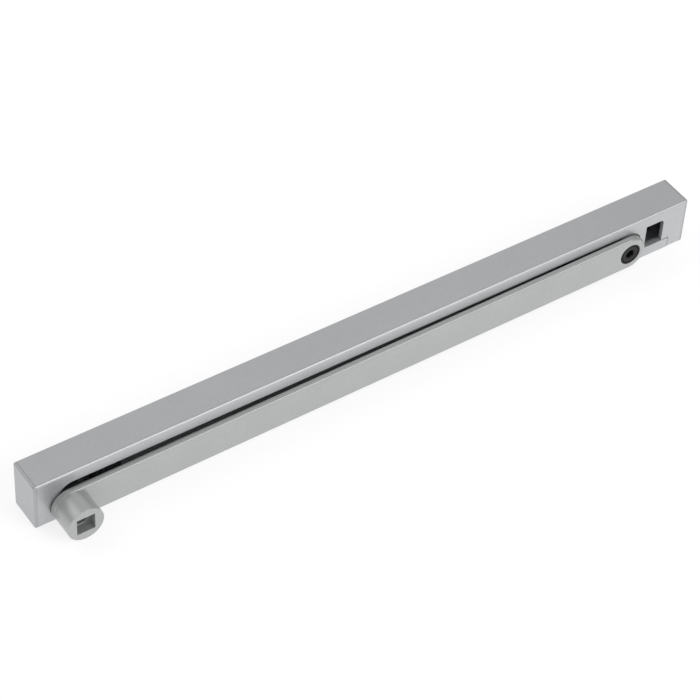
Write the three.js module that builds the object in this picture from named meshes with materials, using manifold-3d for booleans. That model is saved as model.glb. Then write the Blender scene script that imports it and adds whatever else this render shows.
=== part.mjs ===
// Guide rail and lever arm set of a concealed-slider door closer, in millimetres, +Z up.
// The origin is the centre of the rail's mounting (back) face. +X runs along the rail towards the end
// where the arm is pivoted, +Y leaves the mounting face towards the door, and the slotted face, with the
// arm in front of it, looks along -Y. The arm lies folded along the rail, its hub level with the underside.
import * as THREE from "three";
import { mergeVertices } from "three/addons/utils/BufferGeometryUtils.js";
import Module from "manifold-3d";

const wasm = await Module();
wasm.setup();

// ---------------------------------------------------------------- driving dimensions
// Guide rail: a rectangular tube with a long slot in its front wall.
const RAIL_LENGTH = 440;
const RAIL_DEPTH = 22.5;
const RAIL_HEIGHT = 32.5;
const RAIL_WALL = 2.5;
const RAIL_EDGE_RADIUS = 1.6;
const RAIL_INNER_RADIUS = 0.8;
const CAP_THICKNESS = 2;
const CAP_PLUG_DEPTH = 6;
const CAP_PLUG_WALL = 2;

// Slot, and the window and keeper strip beyond its end.
const SLOT_HEIGHT = 18.8;
const SLOT_MIDDLE_Z = -0.7;
const SLOT_TO_LEFT_END = 14.2;
const SLOT_TO_RIGHT_END = 33.5;
const SLOT_TO_WINDOW = 3.5;
const WINDOW_LENGTH = 13;
const WINDOW_HEIGHT = 16.1;
const WINDOW_MIDDLE_Z = 0.4;
const WINDOW_CORNER_RADIUS = 2.5;
const WINDOW_TO_KEEPER = 0.5;
const KEEPER_BEFORE_WINDOW = 1.7;
const KEEPER_PAST_WINDOW = 5;
const KEEPER_PROUD = 0.2;
const KEEPER_SEAM = 0.25;
const KEEPER_TONGUE = 3;
const KEEPER_TONGUE_THICKNESS = 1.5;

// Fixing holes through the back wall, and the blocks that stiffen it there.
const FIXING_TO_END = 23.5;
const FIXING_HOLE_RADIUS = 2.75;
const FIXING_SINK_RADIUS = 5.5;
const FIXING_BLOCK_LENGTH = 22;
const FIXING_BLOCK_THICKNESS = 5;
const FIXING_SINK_DEPTH = 1.5;

// Travel stop inside the rail, near its left end.
const STOP_TO_LEFT_END = 42;
const STOP_LENGTH = 16;
const STOP_THICKNESS = 11;
const STOP_SCREW_RADIUS = 3;
const STOP_SCREW_SOCKET = 1.75;
const BUFFER_LENGTH = 6;
const BUFFER_RADIUS = 4.5;
const BUFFER_STEM_RADIUS = 2.25;
const BUFFER_STEM_LENGTH = 5;

// Lever arm and its hub.
const ARM_WIDTH = 22;
const ARM_THICKNESS = 4;
const ARM_LENGTH = 375.3;
const ARM_TO_RAIL = 1;
const ARM_EDGE_RADIUS = 0.5;
const HUB_DIAMETER = 22;
const HUB_HEIGHT = 14.3;
const HUB_EDGE_CHAMFER = 0.6;
const HUB_SPIGOT_RADIUS = 7.5;
const SOCKET_SQUARE = 11;
const SOCKET_DEPTH = 6.2;
const PILOT_RADIUS = 5;
const PILOT_DEPTH = 12.3;
const SPINDLE_SCREW_RADIUS = 3;
const SPINDLE_SCREW_HEAD_RADIUS = 5.6;
const SPINDLE_SCREW_LENGTH = 8;
const SPINDLE_SCREW_KEY = 4;

// Pivot between the arm and the slider.
const PIVOT_TO_SLOT_END = 11;
const PIVOT_Z = -2.4;
const PIVOT_SCREW_RADIUS = 4;
const PIVOT_HEAD_RADIUS = 5.7;
const PIVOT_HEAD_HEIGHT = 2.4;
const PIVOT_KEY = 5;
const SLEEVE_WALL = 1.2;
const BEARING_RING = 1.2;
const WASHER_RADIUS = 8.4;
const NUT_ACROSS_FLATS = 13;
const NUT_HEIGHT = 4.5;
const SPRING_WASHER_THICKNESS = 1.1;

// Slider: a block in the rail whose round neck fills the slot, on two plastic glides.
const SLIDER_LENGTH = 44;
const SLIDER_TO_SLOT_END = 3;
const NUT_TO_FLANGE = 0.5;
const SCREW_END_TO_WALL = 1.65;
const NECK_TO_SLOT_END = 0.7;
const NECK_PROUD = 0.2;
const GLIDE_THICKNESS = 1.1;
const GLIDE_TOP_THICKNESS = 2.2;
const GLIDE_LIP_HEIGHT = 3.3;

// Fits: the play on each side of a sliding, a running and a seated pair.
const SLIDING_PLAY = 0.25;
const RUNNING_PLAY = 0.08;
const SEAT_PLAY = 0.05;
const ROUND_STEPS = 40;
const EDGE_STEPS = 4;

// ---------------------------------------------------------------- places worked out from them
const FACE_Y = -RAIL_DEPTH;
const HALF_HEIGHT = RAIL_HEIGHT / 2;
const LEFT_X = -RAIL_LENGTH / 2;
const RIGHT_X = RAIL_LENGTH / 2;
const INNER_FRONT_Y = FACE_Y + RAIL_WALL;
const INNER_BACK_Y = -RAIL_WALL;
const INNER_HALF_HEIGHT = HALF_HEIGHT - RAIL_WALL;
const SLOT_RADIUS = SLOT_HEIGHT / 2;
const SLOT_LEFT_X = LEFT_X + SLOT_TO_LEFT_END;
const SLOT_RIGHT_X = RIGHT_X - SLOT_TO_RIGHT_END;
const WINDOW_LEFT_X = SLOT_RIGHT_X + SLOT_TO_WINDOW;
const WINDOW_RIGHT_X = WINDOW_LEFT_X + WINDOW_LENGTH;
const WINDOW_LOW_Z = WINDOW_MIDDLE_Z - WINDOW_HEIGHT / 2;
const WINDOW_HIGH_Z = WINDOW_MIDDLE_Z + WINDOW_HEIGHT / 2;
const KEEPER_TOP_Z = WINDOW_LOW_Z - WINDOW_TO_KEEPER;
const KEEPER_LEFT_X = WINDOW_LEFT_X - KEEPER_BEFORE_WINDOW;
const KEEPER_RIGHT_X = WINDOW_RIGHT_X + KEEPER_PAST_WINDOW;
const ARM_BACK_Y = FACE_Y - ARM_TO_RAIL;
const ARM_FRONT_Y = ARM_BACK_Y - ARM_THICKNESS;
const HUB_FRONT_Y = ARM_FRONT_Y - HUB_HEIGHT;
const SOCKET_FLOOR_Y = HUB_FRONT_Y + SOCKET_DEPTH;
const PILOT_FLOOR_Y = HUB_FRONT_Y + PILOT_DEPTH;
const PIVOT_X = SLOT_RIGHT_X - PIVOT_TO_SLOT_END;
const HUB_Z = -HALF_HEIGHT + HUB_DIAMETER / 2;
const HUB_X = PIVOT_X - Math.sqrt(ARM_LENGTH ** 2 - (PIVOT_Z - HUB_Z) ** 2);
const ARM_TILT = Math.asin((PIVOT_Z - HUB_Z) / ARM_LENGTH);
const SLEEVE_RADIUS = PIVOT_SCREW_RADIUS + SLEEVE_WALL;
const NECK_RADIUS = SLOT_RADIUS - SLIDING_PLAY;
const NECK_X = SLOT_RIGHT_X - NECK_TO_SLOT_END - NECK_RADIUS;
const NECK_FACE_Y = FACE_Y - NECK_PROUD;
const SLIDER_RIGHT_X = SLOT_RIGHT_X - SLIDER_TO_SLOT_END;
const SLIDER_LEFT_X = SLIDER_RIGHT_X - SLIDER_LENGTH;
const GLIDE_FRONT_Y = INNER_FRONT_Y + SLIDING_PLAY;
const GLIDE_BACK_Y = INNER_BACK_Y - SLIDING_PLAY;
const GLIDE_OUTER_Z = INNER_HALF_HEIGHT - SLIDING_PLAY;
const BLOCK_FRONT_Y = GLIDE_FRONT_Y + GLIDE_THICKNESS;
const BLOCK_BACK_Y = GLIDE_BACK_Y - GLIDE_THICKNESS;
const BLOCK_HALF_HEIGHT = GLIDE_OUTER_Z - GLIDE_TOP_THICKNESS;
const NUT_BACK_Y = INNER_BACK_Y - SCREW_END_TO_WALL;
const NUT_FRONT_Y = NUT_BACK_Y - NUT_HEIGHT;
const PLATE_BACK_Y = NUT_FRONT_Y - SPRING_WASHER_THICKNESS;
const POCKET_HALF_HEIGHT = Math.abs(PIVOT_Z) + NUT_ACROSS_FLATS / 2 + NUT_TO_FLANGE;
const LIP_START_Z = GLIDE_OUTER_Z - GLIDE_LIP_HEIGHT;
const BEARING_RADIUS = PIVOT_HEAD_RADIUS + BEARING_RING;
const HEAD_FRONT_Y = ARM_FRONT_Y + 3 * RUNNING_PLAY;
const HEAD_BACK_Y = HEAD_FRONT_Y + PIVOT_HEAD_HEIGHT;
const STOP_LEFT_X = LEFT_X + STOP_TO_LEFT_END;
const STOP_RIGHT_X = STOP_LEFT_X + STOP_LENGTH;
const STOP_BACK_Y = INNER_BACK_Y - SEAT_PLAY;
const STOP_FRONT_Y = STOP_BACK_Y - STOP_THICKNESS;

// ---------------------------------------------------------------- solids
// The solid of a closed geometry: corners that meet are merged, and only their places are kept.
function solidOf(geometry) {
  const loose = geometry.index ? geometry.toNonIndexed() : geometry;
  const bare = new THREE.BufferGeometry();
  bare.setAttribute("position", loose.getAttribute("position"));
  const merged = mergeVertices(bare, 1e-4);
  return new wasm.Manifold(
    new wasm.Mesh({
      numProp: 3,
      vertProperties: merged.attributes.position.array,
      triVerts: new Uint32Array(merged.index.array),
    }),
  );
}

// The geometry of a solid, with flat-shaded faces.
function geometryOf(solid) {
  const mesh = solid.getMesh();
  const geometry = new THREE.BufferGeometry();
  geometry.setAttribute("position", new THREE.BufferAttribute(mesh.vertProperties, 3));
  geometry.setIndex(new THREE.BufferAttribute(mesh.triVerts, 1));
  const flat = geometry.toNonIndexed();
  flat.computeVertexNormals();
  return flat;
}

// A block between two opposite corners.
function block(x0, x1, y0, y1, z0, z1) {
  const geometry = new THREE.BoxGeometry(x1 - x0, y1 - y0, z1 - z0);
  geometry.translate((x0 + x1) / 2, (y0 + y1) / 2, (z0 + z1) / 2);
  return solidOf(geometry);
}

// An outline in X and Z, carried along Y from y0 to y1, its edges rounded by `edge`.
function alongY(shape, y0, y1, edge = 0) {
  const geometry = new THREE.ExtrudeGeometry(shape, {
    depth: y1 - y0 - 2 * edge,
    bevelEnabled: edge > 0,
    bevelSize: edge,
    bevelOffset: -edge,
    bevelThickness: edge,
    bevelSegments: 3,
    curveSegments: ROUND_STEPS / 2,
  });
  geometry.rotateX(Math.PI / 2);
  geometry.translate(0, y1 - edge, 0);
  return solidOf(geometry);
}

// An outline in Y and Z, carried along X from x0 to x1.
function alongX(shape, x0, x1) {
  const geometry = new THREE.ExtrudeGeometry(shape, {
    depth: x1 - x0,
    bevelEnabled: false,
    curveSegments: EDGE_STEPS,
  });
  const turn = new THREE.Matrix4().makeBasis(
    new THREE.Vector3(0, 1, 0),
    new THREE.Vector3(0, 0, 1),
    new THREE.Vector3(1, 0, 0),
  );
  geometry.applyMatrix4(turn);
  geometry.translate(x0, 0, 0);
  return solidOf(geometry);
}

// A turned piece whose axis runs along Y through (x, z). The profile lists [radius, y] from front to back.
function turned(profile, x, z, steps = ROUND_STEPS, start = 0) {
  const points = profile.map(([radius, y]) => new THREE.Vector2(radius, y));
  const geometry = new THREE.LatheGeometry(points, steps, start);
  geometry.translate(x, 0, z);
  return solidOf(geometry);
}

// A plain round bar along Y through (x, z).
function round(radius, y0, y1, x, z, steps = ROUND_STEPS, start = 0) {
  const profile = [
    [0, y0],
    [radius, y0],
    [radius, y1],
    [0, y1],
  ];
  return turned(profile, x, z, steps, start);
}

// A ring along Y through (x, z).
function ring(inner, outer, y0, y1, x, z) {
  const profile = [
    [inner, y0],
    [outer, y0],
    [outer, y1],
    [inner, y1],
    [inner, y0],
  ];
  return turned(profile, x, z);
}

// A hexagonal bar along Y through (x, z), by its width across flats, with flats above and below.
function hexagon(acrossFlats, y0, y1, x, z) {
  return round(acrossFlats / Math.sqrt(3), y0, y1, x, z, 6, Math.PI / 6);
}

// A rectangle with four rounded corners. The corners are listed anticlockwise from the lower right one.
function roundedRectangle(x0, x1, z0, z1, radii) {
  const [lowRight, highRight, highLeft, lowLeft] = radii;
  const shape = new THREE.Shape();
  shape.moveTo(x0 + lowLeft, z0);
  shape.lineTo(x1 - lowRight, z0);
  if (lowRight > 0) shape.absarc(x1 - lowRight, z0 + lowRight, lowRight, -Math.PI / 2, 0);
  shape.lineTo(x1, z1 - highRight);
  if (highRight > 0) shape.absarc(x1 - highRight, z1 - highRight, highRight, 0, Math.PI / 2);
  shape.lineTo(x0 + highLeft, z1);
  if (highLeft > 0) shape.absarc(x0 + highLeft, z1 - highLeft, highLeft, Math.PI / 2, Math.PI);
  shape.lineTo(x0, z0 + lowLeft);
  if (lowLeft > 0) shape.absarc(x0 + lowLeft, z0 + lowLeft, lowLeft, Math.PI, 1.5 * Math.PI);
  return shape;
}

// A bar outline with full round ends of the given radius, from centre xa to centre xb.
function obround(xa, xb, z, radius) {
  const shape = new THREE.Shape();
  shape.moveTo(xa, z - radius);
  shape.lineTo(xb, z - radius);
  shape.absarc(xb, z, radius, -Math.PI / 2, Math.PI / 2);
  shape.lineTo(xa, z + radius);
  shape.absarc(xa, z, radius, Math.PI / 2, 1.5 * Math.PI);
  return shape;
}

// A closed outline through corner points.
function polygon(points) {
  return new THREE.Shape(points.map(([u, v]) => new THREE.Vector2(u, v)));
}

// The rail's outer section in Y and Z, drawn in by `inset` on every side.
function railSection(inset, radius) {
  const radii = [radius, radius, radius, radius];
  return roundedRectangle(FACE_Y + inset, -inset, -HALF_HEIGHT + inset, HALF_HEIGHT - inset, radii);
}

// ---------------------------------------------------------------- rail pieces
// The two fixing hole places along the rail.
const FIXING_X = [LEFT_X + FIXING_TO_END, RIGHT_X - FIXING_TO_END];

function guideRail() {
  const tube = railSection(0, RAIL_EDGE_RADIUS);
  tube.holes.push(railSection(RAIL_WALL, RAIL_INNER_RADIUS));
  let rail = alongX(tube, LEFT_X + CAP_THICKNESS, RIGHT_X - CAP_THICKNESS);
  const cutFront = FACE_Y - 1;
  const cutBack = INNER_FRONT_Y + 1;
  const slot = obround(SLOT_LEFT_X + SLOT_RADIUS, SLOT_RIGHT_X - SLOT_RADIUS, SLOT_MIDDLE_Z, SLOT_RADIUS);
  rail = rail.subtract(alongY(slot, cutFront, cutBack));
  const window = roundedRectangle(WINDOW_LEFT_X, WINDOW_RIGHT_X, WINDOW_LOW_Z, WINDOW_HIGH_Z,
    [0, WINDOW_CORNER_RADIUS, 0, 0]);
  rail = rail.subtract(alongY(window, cutFront, cutBack));
  const notchTop = KEEPER_TOP_Z + KEEPER_SEAM;
  const notchLeft = KEEPER_LEFT_X - KEEPER_SEAM;
  const notchRight = KEEPER_RIGHT_X + KEEPER_SEAM;
  rail = rail.subtract(block(notchLeft, notchRight, cutFront, INNER_FRONT_Y, -RAIL_HEIGHT, notchTop));
  for (const x of FIXING_X) {
    rail = rail.subtract(round(FIXING_HOLE_RADIUS, INNER_BACK_Y - 1, 1, x, 0));
  }
  return rail;
}

// The strip that closes the front wall under the window, hooked behind the wall on both sides.
function keeperPlate() {
  const frontY = FACE_Y - KEEPER_PROUD;
  const wallTop = -INNER_HALF_HEIGHT + RAIL_INNER_RADIUS + SEAT_PLAY;
  const tongueFront = INNER_FRONT_Y + SEAT_PLAY;
  const tongueBack = tongueFront + KEEPER_TONGUE_THICKNESS;
  const section = roundedRectangle(frontY, INNER_FRONT_Y - KEEPER_SEAM, -HALF_HEIGHT, KEEPER_TOP_Z,
    [0, 0, KEEPER_PROUD, RAIL_EDGE_RADIUS]);
  const face = alongX(section, KEEPER_LEFT_X, KEEPER_RIGHT_X);
  const web = block(KEEPER_LEFT_X, KEEPER_RIGHT_X, FACE_Y + 1, tongueBack, wallTop, KEEPER_TOP_Z);
  const tongue = block(KEEPER_LEFT_X - KEEPER_TONGUE, KEEPER_RIGHT_X + KEEPER_TONGUE,
    tongueFront, tongueBack, wallTop, KEEPER_TOP_Z);
  return face.add(web).add(tongue);
}

// An end cap: a plate of the rail's section with a hollow plug that presses into the tube. side is -1 or 1.
function endCap(side) {
  const outer = side * RAIL_LENGTH / 2;
  const joint = outer - side * CAP_THICKNESS;
  const inner = joint - side * CAP_PLUG_DEPTH;
  const plate = alongX(railSection(0, RAIL_EDGE_RADIUS), Math.min(outer, joint), Math.max(outer, joint));
  const plugSection = railSection(RAIL_WALL + SEAT_PLAY, RAIL_INNER_RADIUS);
  plugSection.holes.push(railSection(RAIL_WALL + CAP_PLUG_WALL, RAIL_INNER_RADIUS));
  const plug = alongX(plugSection, Math.min(inner, joint + side), Math.max(inner, joint + side));
  return plate.add(plug);
}

// The section of a block of the given thickness that lies on the back wall and fills the tube's height.
function backWallSection(thickness) {
  const back = INNER_BACK_Y - SEAT_PLAY;
  const half = INNER_HALF_HEIGHT - SEAT_PLAY;
  const radii = new Array(4).fill(RAIL_INNER_RADIUS);
  return roundedRectangle(back - thickness, back, -half, half, radii);
}

// A block against the back wall, sunk for the head of the fixing screw that passes through it.
function fixingBlock(x) {
  const back = INNER_BACK_Y - SEAT_PLAY;
  const front = back - FIXING_BLOCK_THICKNESS;
  const section = backWallSection(FIXING_BLOCK_THICKNESS);
  const body = alongX(section, x - FIXING_BLOCK_LENGTH / 2, x + FIXING_BLOCK_LENGTH / 2);
  const sink = turned([
    [0, front - 1],
    [FIXING_SINK_RADIUS, front - 1],
    [FIXING_SINK_RADIUS, front + FIXING_SINK_DEPTH],
    [FIXING_HOLE_RADIUS, front + FIXING_SINK_DEPTH],
    [FIXING_HOLE_RADIUS, back + 1],
    [0, back + 1],
  ], x, 0);
  return body.subtract(sink);
}

// The travel stop: a block that lies on the back wall, with a clamp screw and a socket for the buffer's stem.
function stopBlock() {
  const body = alongX(backWallSection(STOP_THICKNESS), STOP_LEFT_X, STOP_RIGHT_X);
  const screwHole = round(STOP_SCREW_RADIUS + SEAT_PLAY, STOP_FRONT_Y - 1, STOP_BACK_Y + 1,
    STOP_SCREW_X, SLOT_MIDDLE_Z);
  return body.subtract(screwHole).subtract(bufferBar(BUFFER_STEM_RADIUS + SEAT_PLAY,
    STOP_RIGHT_X - BUFFER_STEM_LENGTH - SEAT_PLAY, STOP_RIGHT_X + 1));
}

const STOP_SCREW_X = STOP_LEFT_X + STOP_LENGTH / 3;
const BUFFER_Y = (STOP_FRONT_Y + STOP_BACK_Y) / 2;

// A round bar along X on the buffer's axis.
function bufferBar(radius, x0, x1) {
  const circle = new THREE.Shape();
  circle.absarc(BUFFER_Y, SLOT_MIDDLE_Z, radius, 0, 2 * Math.PI);
  const geometry = new THREE.ExtrudeGeometry(circle, {
    depth: x1 - x0,
    bevelEnabled: false,
    curveSegments: ROUND_STEPS / 2,
  });
  const turn = new THREE.Matrix4().makeBasis(
    new THREE.Vector3(0, 1, 0),
    new THREE.Vector3(0, 0, 1),
    new THREE.Vector3(1, 0, 0),
  );
  geometry.applyMatrix4(turn);
  geometry.translate(x0, 0, 0);
  return solidOf(geometry);
}

// The stop's clamp screw: a headless screw that presses on the back wall, with a key socket in front.
function stopScrew() {
  const bar = round(STOP_SCREW_RADIUS, STOP_FRONT_Y + 1, STOP_BACK_Y, STOP_SCREW_X, SLOT_MIDDLE_Z);
  const socketDepth = STOP_THICKNESS / 3;
  return bar.subtract(hexagon(2 * STOP_SCREW_SOCKET, STOP_FRONT_Y, STOP_FRONT_Y + 1 + socketDepth,
    STOP_SCREW_X, SLOT_MIDDLE_Z));
}

function stopBuffer() {
  const pad = bufferBar(BUFFER_RADIUS, STOP_RIGHT_X, STOP_RIGHT_X + BUFFER_LENGTH);
  return pad.add(bufferBar(BUFFER_STEM_RADIUS, STOP_RIGHT_X - BUFFER_STEM_LENGTH, STOP_RIGHT_X + 1));
}

// ---------------------------------------------------------------- slider pieces
// The slider's block: a plate with two flanges towards the back wall, and the neck that fills the slot.
function sliderBlock() {
  const h = BLOCK_HALF_HEIGHT;
  const flange = POCKET_HALF_HEIGHT;
  const section = polygon([
    [BLOCK_FRONT_Y, -h],
    [BLOCK_BACK_Y, -h],
    [BLOCK_BACK_Y, -flange],
    [PLATE_BACK_Y, -flange],
    [PLATE_BACK_Y, flange],
    [BLOCK_BACK_Y, flange],
    [BLOCK_BACK_Y, h],
    [BLOCK_FRONT_Y, h],
  ]);
  const body = alongX(section, SLIDER_LEFT_X, SLIDER_RIGHT_X);
  const neck = round(NECK_RADIUS, NECK_FACE_Y, BLOCK_FRONT_Y, NECK_X, SLOT_MIDDLE_Z);
  const bore = round(SLEEVE_RADIUS + SEAT_PLAY, NECK_FACE_Y - 1, PLATE_BACK_Y + 1, PIVOT_X, PIVOT_Z);
  return body.add(neck).subtract(bore);
}

// A glide: a plastic channel over one flange of the block, cut clear of the neck where the neck is wider
// than the gap between the lips. side is 1 for the upper one, -1 for the lower.
function glide(side) {
  const lip = LIP_START_Z;
  const seat = BLOCK_HALF_HEIGHT + SEAT_PLAY;
  const outline = [
    [GLIDE_FRONT_Y, lip],
    [BLOCK_FRONT_Y - SEAT_PLAY, lip],
    [BLOCK_FRONT_Y - SEAT_PLAY, seat],
    [BLOCK_BACK_Y + SEAT_PLAY, seat],
    [BLOCK_BACK_Y + SEAT_PLAY, lip],
    [GLIDE_BACK_Y, lip],
    [GLIDE_BACK_Y, GLIDE_OUTER_Z - RAIL_INNER_RADIUS],
    [GLIDE_BACK_Y - RAIL_INNER_RADIUS, GLIDE_OUTER_Z],
    [GLIDE_FRONT_Y + RAIL_INNER_RADIUS, GLIDE_OUTER_Z],
    [GLIDE_FRONT_Y, GLIDE_OUTER_Z - RAIL_INNER_RADIUS],
  ];
  const placed = outline.map(([y, z]) => [y, side * z]);
  if (side < 0) placed.reverse();
  const channel = alongX(polygon(placed), SLIDER_LEFT_X, SLIDER_RIGHT_X);
  const neckRoom = NECK_RADIUS + SLIDING_PLAY;
  const room = round(neckRoom, FACE_Y, BLOCK_FRONT_Y + SEAT_PLAY, NECK_X, SLOT_MIDDLE_Z);
  return channel.subtract(room);
}

// The sleeve that the arm turns on: the screw's head seats on it, so the arm is never pinched.
function pivotSleeve() {
  const inner = PIVOT_SCREW_RADIUS + SEAT_PLAY;
  return ring(inner, SLEEVE_RADIUS, HEAD_BACK_Y, PLATE_BACK_Y, PIVOT_X, PIVOT_Z);
}

function thrustWasher() {
  const inner = SLEEVE_RADIUS + RUNNING_PLAY;
  return ring(inner, WASHER_RADIUS, ARM_BACK_Y + RUNNING_PLAY, NECK_FACE_Y - RUNNING_PLAY, PIVOT_X, PIVOT_Z);
}

// Countersunk pivot screw with a hexagon socket.
function pivotScrew() {
  const body = turned([
    [0, HEAD_FRONT_Y],
    [PIVOT_HEAD_RADIUS, HEAD_FRONT_Y],
    [PIVOT_HEAD_RADIUS, HEAD_FRONT_Y + PIVOT_HEAD_HEIGHT / 6],
    [PIVOT_SCREW_RADIUS + SLEEVE_WALL / 2, HEAD_BACK_Y],
    [PIVOT_SCREW_RADIUS, HEAD_BACK_Y],
    [PIVOT_SCREW_RADIUS, NUT_BACK_Y],
    [0, NUT_BACK_Y],
  ], PIVOT_X, PIVOT_Z);
  const socketBottom = HEAD_BACK_Y + PIVOT_HEAD_HEIGHT / 4;
  return body.subtract(hexagon(PIVOT_KEY, HEAD_FRONT_Y - 1, socketBottom, PIVOT_X, PIVOT_Z));
}

function springWasher() {
  const inner = PIVOT_SCREW_RADIUS + RUNNING_PLAY;
  return ring(inner, NUT_ACROSS_FLATS / 2, PLATE_BACK_Y, NUT_FRONT_Y, PIVOT_X, PIVOT_Z);
}

function lockNut() {
  const body = hexagon(NUT_ACROSS_FLATS, NUT_FRONT_Y, NUT_BACK_Y, PIVOT_X, PIVOT_Z);
  return body.subtract(round(PIVOT_SCREW_RADIUS + SEAT_PLAY, NUT_FRONT_Y - 1, NUT_BACK_Y + 1, PIVOT_X, PIVOT_Z));
}

// ---------------------------------------------------------------- arm pieces
// Turns a solid of the arm, drawn level with the pivot, down to where the folded arm rests.
function tilted(solid) {
  const turn = new THREE.Matrix4().makeTranslation(PIVOT_X, 0, PIVOT_Z);
  turn.multiply(new THREE.Matrix4().makeRotationY(-ARM_TILT));
  turn.multiply(new THREE.Matrix4().makeTranslation(-PIVOT_X, 0, -PIVOT_Z));
  return solid.transform(turn.elements);
}

const LEVEL_HUB_X = PIVOT_X - ARM_LENGTH;

function leverArm() {
  const outline = obround(LEVEL_HUB_X, PIVOT_X, PIVOT_Z, ARM_WIDTH / 2);
  let arm = alongY(outline, ARM_FRONT_Y, ARM_BACK_Y, ARM_EDGE_RADIUS);
  arm = arm.subtract(round(BEARING_RADIUS + SEAT_PLAY, ARM_FRONT_Y - 1, ARM_BACK_Y + 1, PIVOT_X, PIVOT_Z));
  const spigotHole = HUB_SPIGOT_RADIUS + SEAT_PLAY;
  return arm.subtract(round(spigotHole, ARM_FRONT_Y - 1, ARM_BACK_Y + 1, LEVEL_HUB_X, PIVOT_Z));
}

// The hub: a round boss with a square socket for the closer's spindle, broached in the mouth of a deeper
// pilot hole, its spigot riveted in the arm.
function armHub() {
  const radius = HUB_DIAMETER / 2;
  const x = LEVEL_HUB_X;
  const body = turned([
    [0, HUB_FRONT_Y],
    [radius - HUB_EDGE_CHAMFER, HUB_FRONT_Y],
    [radius, HUB_FRONT_Y + HUB_EDGE_CHAMFER],
    [radius, ARM_FRONT_Y],
    [HUB_SPIGOT_RADIUS, ARM_FRONT_Y],
    [HUB_SPIGOT_RADIUS, ARM_BACK_Y],
    [0, ARM_BACK_Y],
  ], x, PIVOT_Z);
  const half = SOCKET_SQUARE / 2;
  const socket = block(x - half, x + half, HUB_FRONT_Y - 1, SOCKET_FLOOR_Y, PIVOT_Z - half, PIVOT_Z + half);
  const pilot = round(PILOT_RADIUS, HUB_FRONT_Y - 1, PILOT_FLOOR_Y, x, PIVOT_Z);
  return body.subtract(socket).subtract(pilot).subtract(spindleScrewForm(SEAT_PLAY, ARM_BACK_Y + 1));
}

// The spindle screw's outline, made larger by `play`; its countersunk head ends at `backY`.
function spindleScrewForm(play, backY) {
  const shank = SPINDLE_SCREW_RADIUS + play;
  const head = SPINDLE_SCREW_HEAD_RADIUS + play;
  const tipY = ARM_BACK_Y - SPINDLE_SCREW_LENGTH - play;
  const rimY = ARM_BACK_Y - 2 * SEAT_PLAY;
  return turned([
    [0, tipY],
    [shank, tipY],
    [shank, rimY - (head - shank)],
    [head, rimY],
    [head, backY],
    [0, backY],
  ], LEVEL_HUB_X, PIVOT_Z);
}

function spindleScrew() {
  const keyDepth = SPINDLE_SCREW_KEY / 2;
  const key = hexagon(SPINDLE_SCREW_KEY, ARM_BACK_Y - keyDepth, ARM_BACK_Y + 1, LEVEL_HUB_X, PIVOT_Z);
  return spindleScrewForm(0, ARM_BACK_Y - SEAT_PLAY).subtract(key);
}

// The bearing in the arm's end: a plastic ring with a conical seat round the screw's head.
function armBearing() {
  const bore = SLEEVE_RADIUS + RUNNING_PLAY;
  const mouth = PIVOT_HEAD_RADIUS + 4 * RUNNING_PLAY;
  const frontY = ARM_FRONT_Y + RUNNING_PLAY;
  return turned([
    [mouth, frontY],
    [BEARING_RADIUS, frontY],
    [BEARING_RADIUS, ARM_BACK_Y],
    [bore, ARM_BACK_Y],
    [bore, HEAD_BACK_Y - RUNNING_PLAY],
    [mouth, HEAD_FRONT_Y + PIVOT_HEAD_HEIGHT / 6],
    [mouth, frontY],
  ], PIVOT_X, PIVOT_Z);
}

// ---------------------------------------------------------------- finishes and assembly
function finish(hex, roughness, metalness) {
  return { color: hex, roughness, metalness };
}
const SILVER_PAINT = finish(0xabadae, 0.45, 0.5);
const BLACK_OXIDE = finish(0x1d1e20, 0.5, 0.8);
const ZINC_PLATE = finish(0xb9bdc2, 0.35, 1);
const DIE_CAST = finish(0x8b8f93, 0.55, 1);
const ACETAL = finish(0x26282b, 0.5, 0);
const RUBBER = finish(0x171718, 0.85, 0);

// Adds a named mesh of a solid to its group.
function add(group, name, solid, look) {
  const material = new THREE.MeshStandardMaterial(look);
  const mesh = new THREE.Mesh(geometryOf(solid), material);
  mesh.name = name;
  group.add(mesh);
}

const railGroup = new THREE.Group();
add(railGroup, "guide_rail", guideRail(), SILVER_PAINT);
add(railGroup, "keeper_plate", keeperPlate(), SILVER_PAINT);
add(railGroup, "left_end_cap", endCap(-1), SILVER_PAINT);
add(railGroup, "right_end_cap", endCap(1), SILVER_PAINT);
add(railGroup, "left_fixing_block", fixingBlock(FIXING_X[0]), DIE_CAST);
add(railGroup, "right_fixing_block", fixingBlock(FIXING_X[1]), DIE_CAST);
add(railGroup, "stop_block", stopBlock(), DIE_CAST);
add(railGroup, "stop_clamp_screw", stopScrew(), BLACK_OXIDE);
add(railGroup, "stop_buffer", stopBuffer(), RUBBER);

const sliderGroup = new THREE.Group();
add(sliderGroup, "slider_block", sliderBlock(), DIE_CAST);
add(sliderGroup, "upper_glide", glide(1), ACETAL);
add(sliderGroup, "lower_glide", glide(-1), ACETAL);
add(sliderGroup, "pivot_sleeve", pivotSleeve(), ZINC_PLATE);
add(sliderGroup, "thrust_washer", thrustWasher(), ACETAL);
add(sliderGroup, "pivot_screw", pivotScrew(), BLACK_OXIDE);
add(sliderGroup, "spring_washer", springWasher(), ZINC_PLATE);
add(sliderGroup, "lock_nut", lockNut(), ZINC_PLATE);

const armGroup = new THREE.Group();
add(armGroup, "lever_arm", tilted(leverArm()), SILVER_PAINT);
add(armGroup, "arm_hub", tilted(armHub()), SILVER_PAINT);
add(armGroup, "arm_bearing", armBearing(), ACETAL);
add(armGroup, "spindle_screw", tilted(spindleScrew()), BLACK_OXIDE);

const closerRail = new THREE.Group();
closerRail.add(railGroup, sliderGroup, armGroup);

export default closerRail;
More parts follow.
